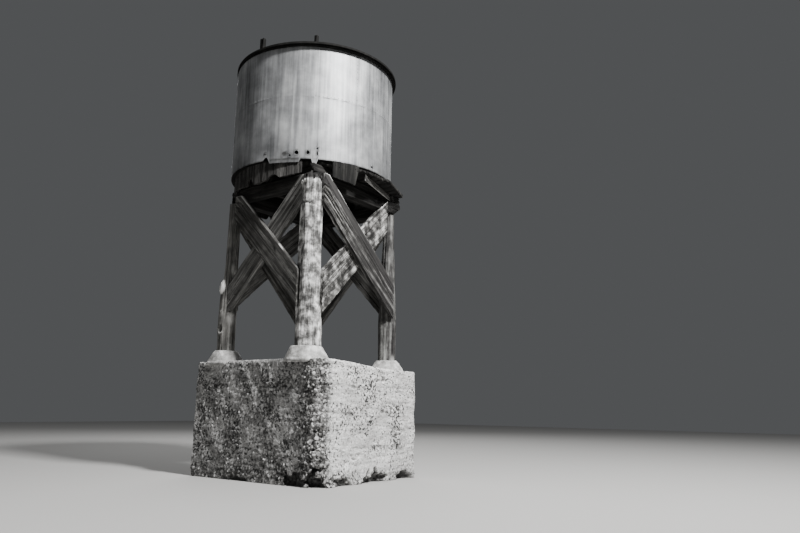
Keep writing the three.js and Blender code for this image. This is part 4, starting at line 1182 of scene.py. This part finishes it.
# A brace follows the outline of its CAD node, read in the plane of its face
def addBrace(node, material, splits, seed):
    turn = math.radians(faceTurns[node.split("_")[1]])
    along = np.array((math.cos(turn), math.sin(turn), 0))
    out = wayOut(turn)
    points = nodePoints(node)
    u, w = points @ along, points @ out
    thickness = w.max() - w.min()
    corners = np.unique(np.round(np.column_stack([u, points[:, 2]]), 4), axis=0)
    start, end = corners[0][0], corners[-1][0]
    atStart, atEnd = corners[corners[:, 0] < start + 0.001], corners[corners[:, 0] > end - 0.001]
    raisedFirst = atStart[:, 1].max() > atEnd[:, 1].max()
    sawn = corners[:, 1].max()
    between = corners[(corners[:, 0] > start + 0.001) & (corners[:, 0] < end - 0.001)]
    sawnAt = between[np.argmax(between[:, 1])]
    foot = atEnd[np.argmax(atEnd[:, 1])] if raisedFirst else atStart[np.argmax(atStart[:, 1])]
    slope = (sawnAt[1] - foot[1]) / (sawnAt[0] - foot[0])
    lowStart, lowEnd = atStart[:, 1].min(), atEnd[:, 1].min()

    def lowerEdge(x):
        return lowStart + (lowEnd - lowStart) * (x - start) / (end - start)

    def upperEdge(x):
        return np.minimum(foot[1] + slope * (x - foot[0]), sawn)

    ownSplits = braceValues["ownSplits"].get(node, ())
    rings = plankRings(start, end, lowerEdge, upperEdge, thickness, seed, splits, braceValues["rag"],
                       ownSplits)
    x = rings[..., 0]
    share = (rings[..., 1] - lowerEdge(x)) / (upperEdge(x) - lowerEdge(x))
    strip, farSmooth = braceValues["smoothStrips"].get(node, (2.0, 0.0))
    wander = 0.05 * (lineNoise(x, 0.3, seed + 8) - 0.5)
    sawnAndShade = smoothStep(strip - 0.02, strip + 0.02, share + wander)
    sawnAndShade = np.maximum(sawnAndShade, farSmooth * smoothStep(0.2, 0.5, (x - start) / (end - start) + wander))
    # the upper edge of the outer face is painted pale in places: a painted highlight where light catches the
    # edge
    paleWearAndHighlight = braceValues["paleEdge"] * smoothStep(0.96, 0.99, share) * (rings[..., 2] > 0.7 * thickness)
    paleWearAndHighlight = paleWearAndHighlight * smoothStep(0.42, 0.5, lineNoise(x, 0.2, seed + 9))
    for post in (start + braceValues["nailsIn"], end - braceValues["nailsIn"]):
        bottom, top = lowerEdge(post), upperEdge(post)
        for across, shift in braceValues["nails"]:
            level = bottom + across * (top - bottom)
            head = along * (post + shift) + out * (w.max() - 0.004) + np.array((0, 0, level))
            nailPlaces.append((head, out))
    brace = skin(node.replace("brace", "plank"), placeRings(rings, out * w.min(), along, (0, 0, 1)))
    setValues(brace, "sawnAndShade", np.append(sawnAndShade.ravel(), (0, 0)))
    setValues(brace, "paleWearAndHighlight", np.append(paleWearAndHighlight.ravel(), (0, 0)))
    setGrain(brace, tuple(along + np.array((0, 0, slope))), seed)
    return finishPiece(brace, material, [node], 50)


for face in faceTurns:
    for layer in ("outer", "inner"):
        node = f"brace_{face}_{layer}"
        addBrace(node, *braceValues[node])
addHeads("braceNails", nailPlaces, *braceValues["nailHead"], steelHeads, rustAndShadeSteel, "plank_timber")


print("Beams, joists and deck")
beamValues = {
    "axes": {"beam_front": "x", "beam_back": "x", "beam_right": "y", "beam_left": "y"},
    "splits": 5,
    "joistSplits": 2,
    "rag": 0.02,
    "joistRag": 0.03,
    # the right-hand beam's rot: where it begins, its least depth, how much more at the far end, where that
    # begins and is full, and how ragged it is
    "rot": (-0.75, 0.008, 0.062, -0.15, 0.55, 0.014),
}


# The right-hand beam has rotted along its top outer edge, more towards the far end
def rottenEdge():
    low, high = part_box("beam_right")
    begins, least, more, moreFrom, moreTo, ragged = beamValues["rot"]
    y = np.linspace(begins, high.y + 0.02, 90)
    deep = least + more * smoothStep(moreFrom, moreTo, y) + ragged * lineNoise(y, 0.06, 35)
    across, up = 0.6 * deep + 0.012, 0.02
    corners = [(high.x + up, high.z + up), (high.x - across, high.z + up),
               (high.x - across, high.z - 0.004 * across),
               (high.x - 0.4 * across, high.z - 0.55 * deep), (high.x + 0.0005, high.z - deep),
               (high.x + up, high.z - deep)]
    rings = np.stack([np.stack([x + 0 * y, y, z + 0 * y], -1) for x, z in corners], 1)
    return skin("rottenEdge", rings)


def addFrameTimber(node, name, axis, seed, splits, rag):
    timber = timberInBox(name, *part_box(node), axis, seed, splits, rag)
    carve(timber, [solidCopy(node)], "INTERSECT")
    if node == "beam_right":
        carve(timber, [rottenEdge()])
    setGrain(timber, (1, 0, 0) if axis == "x" else (0, 1, 0), seed)
    return finishPiece(timber, shadedBeam, [node], 50)


for seed, (node, axis) in enumerate(beamValues["axes"].items(), 31):
    addFrameTimber(node, node.replace("beam", "capBeam"), axis, seed, beamValues["splits"], beamValues["rag"])
for seed, node in enumerate(nodeNames("joist_"), 51):
    name = node.replace("joist", "floorJoist")
    addFrameTimber(node, name, "y", seed, beamValues["joistSplits"], beamValues["joistRag"])

deckValues = {"width": 0.17, "gap": 0.006, "splits": 2, "seed": 71}


# Deck planks laid side by side over the joists and sawn to the tank's round
def addDeck(values):
    low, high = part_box("deck")
    number = round((high.y - low.y) / values["width"])
    width = (high.y - low.y) / number
    made = []
    for i in range(number):
        near = low.y + i * width + values["gap"] / 2
        corners = (low.x - 0.01, near, low.z), (high.x + 0.01, near + width - values["gap"], high.z)
        made.append(
            timberInBox("deckPlank", *corners, "x", values["seed"] + i, values["splits"], 0.0, 0.0005))
    meshes = bmesh.new()
    for plank in made:
        meshes.from_mesh(plank.data)
        bpy.data.objects.remove(plank)
    mesh = bpy.data.meshes.new("deckPlanks")
    meshes.to_mesh(mesh)
    meshes.free()
    deck = newObject("deckPlanks", mesh)
    carve(deck, [solidCopy("deck")], "INTERSECT")
    setGrain(deck, (1, 0, 0), values["seed"])
    return finishPiece(deck, shadedBeam, ["deck"], 50)


addDeck(deckValues)


print("Skirt boards")
skirtValues = {
    "column": 0.0105,
    "rows": 30,
    "backFace": 0.0385,  # how far in from the outer face
    "boardWidth": (0.09, 0.22),
    "standsBack": 0.009,  # at most, from one board to the next
    "shorter": 0.016,
    "joint": (0.010, 0.011, 0.003),  # depth, and half its width at the top and bottom
    "footWear": (0.014, 0.03),  # depth and size
    "grain": (0.007, (0.018, 1, 0.4)),
    "furrows": (0.008, (0.012, 1, 0.22)),
    # seams between the boards on the front, in degrees round from the front to the right
    "frontJoints": [-36.5, -29.0, -20.9, -10.8, -2.3, 4.8, 10.2, 14.8, 24.5, 29.8],
    "frontFoot": ([-42, -18, -11, 3.6, 10.5, 16.5, 27.5, 35],
                  [4.040, 4.030, 4.003, 3.996, 4.031, 4.040, 4.071, 4.106]),
    "rightFoot": ([55, 65, 75], [4.070, 4.023, 3.980]),
    "otherFoot": 3.990,
    # rotten places in the lower edge: degrees, width and height
    "rot": [(-29.5, 0.085, 0.07), (-5.1, 0.150, 0.104), (14.9, 0.205, 0.062), (150.0, 0.12, 0.07),
            (262.0, 0.1, 0.06), (201.0, 0.16, 0.05), (240.0, 0.07, 0.09)],
    "nails": [(0.05, 0.3), (0.07, 0.7)],  # below the top, and share of the board's width
    "nailHead": (0.0065, 0.006),
}
skirtNails = []


# The seams between a run of boards, and for each point round the run its board and how far off a seam is
def skirtJoints(side, first, last, outer, around, random, values):
    joints = [first]
    if side == "front":
        joints += [joint for joint in np.radians(values["frontJoints"]) if first + 0.01 < joint < last - 0.01]
    else:
        while joints[-1] < last - 0.1:
            joints.append(joints[-1] + random.uniform(*values["boardWidth"]) / outer)
    joints = np.array(joints)
    toJoint = around * 0 + 1
    if len(joints) > 1:
        toJoint = np.min(np.abs(around[:, None] - joints[None, 1:]), axis=1) * outer
    return joints, np.searchsorted(joints, around, side="right") - 1, toJoint


def addSkirtBoard(node, seed, values):
    random = np.random.default_rng(seed)
    side = node.split("_")[2]
    points = nodePoints(node)
    angles = np.degrees(np.arctan2(points[:, 0], -points[:, 1]))
    if side in ("back", "left"):
        angles = angles % 360
    first, last = math.radians(angles.min()), math.radians(angles.max())
    outer, high = np.hypot(points[:, 0], points[:, 1]).max(), points[:, 2].max()
    around = np.linspace(first, last, int((last - first) * outer / values["column"]))
    joints, board, toJoint = skirtJoints(side, first, last, outer, around, random, values)
    back = random.uniform(0, values["standsBack"], len(joints))[board]
    shorter = random.uniform(0, values["shorter"], len(joints))[board]
    flat = around * 0
    level = flat + values["otherFoot"] + shorter
    if side in ("front", "right"):
        level = np.interp(np.degrees(around), *values[side + "Foot"]) + 0.4 * shorter
    wear, size = values["footWear"]
    places = np.stack([around * outer, board * 3.0, flat], -1)
    footLevel = level + wear * roughNoise(places, (size, 1, 1), seed)
    ragged = 0.8 + 0.4 * lineNoise(around * outer, 0.02, seed + 2)
    for angle, width, height in values["rot"]:
        gap = np.abs(shortTurn(around - math.radians(angle))) * outer
        footLevel = np.maximum(footLevel,
                               level + height * ragged * np.clip((1 - 2 * gap / width) * 1.6, 0, 1))
    rings = []
    share = np.linspace(0, 1, values["rows"])
    grain, grainSize = values["grain"]
    furrow, furrowSize = values["furrows"]
    jointDepth, jointTop, jointBottom = values["joint"]
    for i, angle in enumerate(around):
        direction = wayOut(angle)[:2]
        levels = footLevel[i] + share * (high - footLevel[i])
        along = np.stack([levels * 0 + angle * outer, levels * 0 + board[i], levels], -1)
        groove = grain * roughNoise(along, grainSize, seed + 4) + back[i]
        groove = groove + furrow * smoothStep(0.62, 0.78, roughNoise(along, furrowSize, seed + 6))
        groove = groove + jointDepth * smoothStep(jointTop, jointBottom, toJoint[i])
        front = np.column_stack([np.outer(outer - 0.0008 - groove, direction), levels])
        rear = np.column_stack([np.outer(outer - values["backFace"] + 0 * groove, direction), levels])[::-1]
        rings.append(np.vstack([front, rear]))
    for start, end in zip(joints, list(joints[1:]) + [last]):
        for below, place in values["nails"]:
            direction = wayOut(start + (end - start) * place)
            skirtNails.append((direction * (outer - 0.009) + np.array((0, 0, high - below)), direction))
    piece = skin(node.replace("skirt_board", "skirtBoards"), np.array(rings)[::-1])
    carve(piece, [solidCopy(node)], "INTERSECT")
    setGrain(piece, (0, 0, 1), seed)
    # the right-hand run takes the darker copy: painted shade
    return finishPiece(piece, shadedSkirt if side == "right" else greySkirt, [node], 50)


for seed, node in enumerate(nodeNames("skirt_board_"), 81):
    addSkirtBoard(node, seed, skirtValues)
addHeads("skirtNails", skirtNails, *skirtValues["nailHead"], steelHeads, rustAndShadeSteel, "skirt_timber")

nailingPlankValues = {"inset": 0.002, "splits": 2, "rag": 0.015, "seed": 91, "paleEdge": (0.6, 0.012, 0.004)}


# The bare plank stands at a slant under the deck, where skirt boards have gone
def addNailingPlank(values):
    points = nodePoints("nailing_plank")
    corners = np.unique(np.round(points[:, :2], 4), axis=0)
    first = corners[np.argmin(corners[:, 1])]
    order = np.argsort(np.linalg.norm(corners - first, axis=1))
    thicknessEnd, farEnd = corners[order[1]], corners[order[2]]
    length, thickness = np.linalg.norm(farEnd - first), np.linalg.norm(thicknessEnd - first)
    along = (farEnd - first) / length
    low, high = points[:, 2].min(), points[:, 2].max()
    out = np.array((along[1], -along[0]))
    origin = first if (thicknessEnd - first) @ out > 0 else thicknessEnd
    inset = values["inset"]
    rings = plankRings(0, length, lambda u: u * 0 + inset, lambda u: u * 0 + high - low - inset, thickness,
                       values["seed"], values["splits"], values["rag"])
    plank = skin("nailingPlank",
                 placeRings(rings, (origin[0], origin[1], low), (along[0], along[1], 0), (0, 0, 1)))
    setGrain(plank, (along[0], along[1], 0), values["seed"])
    pale, begins, full = values["paleEdge"]
    setValues(plank, "paleWearAndHighlight", pale * smoothStep(low + begins, low + full, pointsOf(plank)[:, 2]))
    return finishPiece(plank, greyPlank, ["nailing_plank"], 50)


addNailingPlank(nailingPlankValues)


print("Tank and roof")
tankValues = {
    "around": 320,
    "rows": 70,
    "wall": 0.004,
    "dents": (0.45, 0.007),  # size and depth
    "raggedFoot": 0.012,
    # how far the foot has rusted away: degrees, width and height
    "foot": [(11.8, 0.10, 0.055), (62.0, 0.07, 0.012), (-20.6, 0.05, 0.02), (120.0, 0.10, 0.02),
             (230.0, 0.06, 0.02), (-8.0, 0.05, 0.014)],
    # where it hangs down: degrees from and to, and how far
    "lip": (13.5, 35.0, 0.045),
    "tab": (43.4, 46.3, 0.066),
    # holes rusted through: degrees, level, half their width and height
    "holes": [
        (28.7, 4.352, 0.017, 0.014), (33.2, 4.393, 0.026, 0.028), (40.6, 4.396, 0.022, 0.028),
        (46.6, 4.462, 0.016, 0.014), (46.9, 4.388, 0.010, 0.034), (10.8, 4.402, 0.012, 0.010),
        (88.0, 4.360, 0.020, 0.018), (205.0, 4.38, 0.03, 0.02)],
    "rustRound": 0.012,  # how far rust spreads round a hole
    "lap": 5.226,  # the upper sheets lap over a lower course 36 in high
    "lapStep": 0.002,
    "seams": {"lower": (-62, 28, 118, 208), "upper": (-17, 73, 163, 253)},
    "rivets": (0.055, 0.006, 0.004),  # spacing, radius and rise
    "rivetSeat": {"lower": 0.0055, "upper": 0.0035},  # how far in from the tank's full radius
}


# How high the sheet's lower edge stands over the deck all round: ragged, rusted away, or hanging down
def tankFoot(around, radius, ragged, values):
    foot = values["raggedFoot"] * ragged
    for angle, width, height in values["foot"]:
        gap = np.abs(shortTurn(around - math.radians(angle))) * radius
        foot = np.maximum(foot, height * (0.7 + 0.5 * ragged) * smoothStep(width / 2, width / 6, gap))
    degrees = (np.degrees(around) + 180) % 360 - 180
    start, end, drop = values["lip"]
    foot = np.where((degrees > start) & (degrees < end), -drop * (0.75 + 0.4 * ragged), foot)
    start, end, drop = values["tab"]
    return np.where((degrees > start) & (degrees < end), -drop, foot)


# One rivet along the lap every so often, and up each seam of both courses
def tankRivets(low, high, middle, radius, values):
    spacing, lap, seat = values["rivets"][0], values["lap"], values["rivetSeat"]
    rivets = []
    for turn in np.arange(0, 2 * math.pi, spacing / radius):
        out = wayOut(turn)
        rivets.append((np.array((middle.x, middle.y, lap + 0.016)) + out * (radius - seat["upper"]), out))
    for course, start, end in (("lower", low.z + 0.04, lap - 0.03), ("upper", lap + 0.06, high.z - 0.03)):
        for degree in values["seams"][course]:
            out = wayOut(math.radians(degree))
            for level in np.arange(start, end, spacing):
                rivets.append((np.array((middle.x, middle.y, level)) + out * (radius - seat[course]), out))
    return rivets


def addTank(values):
    low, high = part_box("tank_shell")
    middle = (low + high) / 2
    radius = (high.x - low.x) / 2 - 0.0005
    around = allRound(values["around"])
    ragged = roughNoise(np.stack([np.sin(around), np.cos(around), around * 0], -1), 0.025, 95)
    foot = tankFoot(around, radius, ragged, values)
    # a row on either side of the lap, so that it steps sharply
    lapRows = (values["lap"] - low.z + np.array((-0.002, 0.001))) / (high.z - low.z)
    outside, inside = [], []
    dentSize, dentDepth = values["dents"]
    for share in np.sort(np.append(np.linspace(0, 1, values["rows"]), lapRows)):
        levels = low.z + foot * (1 - share) + (high.z - 0.0005 - low.z) * share
        place = np.stack([np.sin(around) * radius, np.cos(around) * radius, levels], -1)
        dent = dentDepth * roughNoise(place, (dentSize,) * 3, 97) * min(1.0, 6 * share + 0.1)
        reach = radius - dent - values["lapStep"] * (levels < values["lap"])
        for rings, size in ((outside, reach), (inside, reach - values["wall"])):
            rings.append(ringAt(middle.x, middle.y, size, around, levels))
    shell = skin("tankShell", np.array(outside + inside[::-1]), loop=True)
    points = pointsOf(shell)
    holes, rust = [], 0
    spokes = allRound(14)
    for number, (angle, level, halfWidth, halfHeight) in enumerate(values["holes"]):
        turn = math.radians(angle)
        out, side = wayOut(turn), np.array((math.cos(turn), math.sin(turn), 0))
        centre = np.array((middle.x, middle.y, level))
        place = np.stack([np.sin(spokes), np.cos(spokes), spokes * 0 + number], -1)
        edge = 0.7 + 0.6 * roughNoise(place, 0.7, 96)
        rim = centre + np.outer(np.cos(spokes) * edge * halfWidth, side)
        rim = rim + np.outer(np.sin(spokes) * edge * halfHeight, (0, 0, 1))
        holes.append(skin("rustHole", np.array([rim + out * (radius - 0.05), rim + out * (radius + 0.05)])))
        off = points - (centre + out * radius)
        distance = np.hypot(off @ side / (halfWidth + values["rustRound"]),
                            off[:, 2] / (halfHeight + values["rustRound"]))
        rust = np.maximum(rust, 0.85 * smoothStep(1.5, 0.7, distance))
    levels = points[:, 2]
    # the tab is bare zinc, the lip half rusted, and the rest of the foot's edge rusted
    edge = np.where(levels < low.z - 0.052, 0, np.where(levels < low.z - 0.001, 0.4, 0.8))
    rust = np.maximum(rust, edge * smoothStep(low.z + 0.02, low.z + 0.004, levels))
    setValues(shell, "rust", rust)
    carve(shell, holes)
    _, rivetRadius, rivetRise = values["rivets"]
    rivets = tankRivets(low, high, middle, radius, values)
    addHeads("tankRivets", rivets, rivetRadius, rivetRise, zincHeads, zinc, "tank_steel")
    return finishPiece(shell, zinc, ["tank_shell"], 60)


addTank(tankValues)
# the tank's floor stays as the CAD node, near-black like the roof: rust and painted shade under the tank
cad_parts["tank_floor"].data.materials.clear()
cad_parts["tank_floor"].data.materials.append(rustAndShadeSteel)

roofValues = {
    "around": 256,
    "radiusLess": 0.004,
    "rim": 0.046,  # height of the folded rim
    "rimWidth": 0.12,
    "sheet": 0.008,
    "tankGap": 0.003,
    "rimWave": (0.35, 0.004),  # size and depth
    "dents": (0.4, 0.006),
    "seams": 16,
    "seam": (0.010, 0.022, 0.008),  # rise, and half its width at the foot and top
    "stub": (1, 0.012, 7),  # splits, ragged ends and seed
}


# Low cone of sheets that lap at radial seams, with a folded rim
def addRoof(values):
    low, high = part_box("tank_roof")
    middle = (low + high) / 2
    radius = (high.x - low.x) / 2 - values["radiusLess"]
    around = allRound(values["around"])
    edge, inner, sheet = values["rim"], radius - values["rimWidth"], values["sheet"]
    rise = high.z - low.z - edge - 0.002
    wallReach = (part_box("tank_shell")[1].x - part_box("tank_shell")[0].x) / 2 + values["tankGap"]
    # (reach, height) from the middle of the underside out to the rim, then over it and up to the middle again
    under = [(0.02, edge + rise - sheet), (inner * 0.5, edge + rise * 0.5 - sheet), (inner, edge - 0.006),
             (inner, 0.001), (wallReach, 0.001), (wallReach + 0.002, 0.017), (radius, 0.017),
             (radius, edge * 0.7)]
    over = [(radius - 0.001, edge), (radius - 0.02, edge + 0.002), (inner + 0.05, edge + 0.001), (inner, edge)]
    over += [(inner * (1 - s), edge + rise * s) for s in np.linspace(0.06, 0.97, 24)]
    spacing = 2 * math.pi / values["seams"]
    waveSize, waveDepth = values["rimWave"]
    dentSize, dentDepth = values["dents"]
    seamRise, seamFoot, seamTop = values["seam"]
    rings = []
    for row, (reach, height) in enumerate(under + over):
        place = np.stack([np.sin(around) * reach, np.cos(around) * reach, around * 0], -1)
        wave = waveDepth * (roughNoise(place, waveSize, 99) - 1) if reach > inner + 0.03 else 0
        toSeam = np.abs((around + spacing / 2) % spacing - spacing / 2) * reach
        isTop = row >= len(under) + 3
        seam = seamRise * smoothStep(seamFoot, seamTop, toSeam) if isTop and reach > 0.06 else 0
        dent = dentDepth * roughNoise(place, dentSize, 98) if isTop else 0
        levels = low.z + height + seam - dent + around * 0
        rings.append(ringAt(middle.x, middle.y, reach + wave, around, levels))
    roof = skin("tankRoof", np.array(rings))
    return finishPiece(roof, rustAndShadeSteel, ["tank_roof"], 50)


addRoof(roofValues)
stubSplits, stubRag, stubSeed = roofValues["stub"]
for node in ("roof_stub_left", "roof_stub_right"):
    name = node.replace("roof_stub", "roofStub")
    stub = timberInBox(name, *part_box(node), "z", stubSeed, stubSplits, stubRag)
    finishPiece(stub, rustAndShadeSteel, [node], 50)
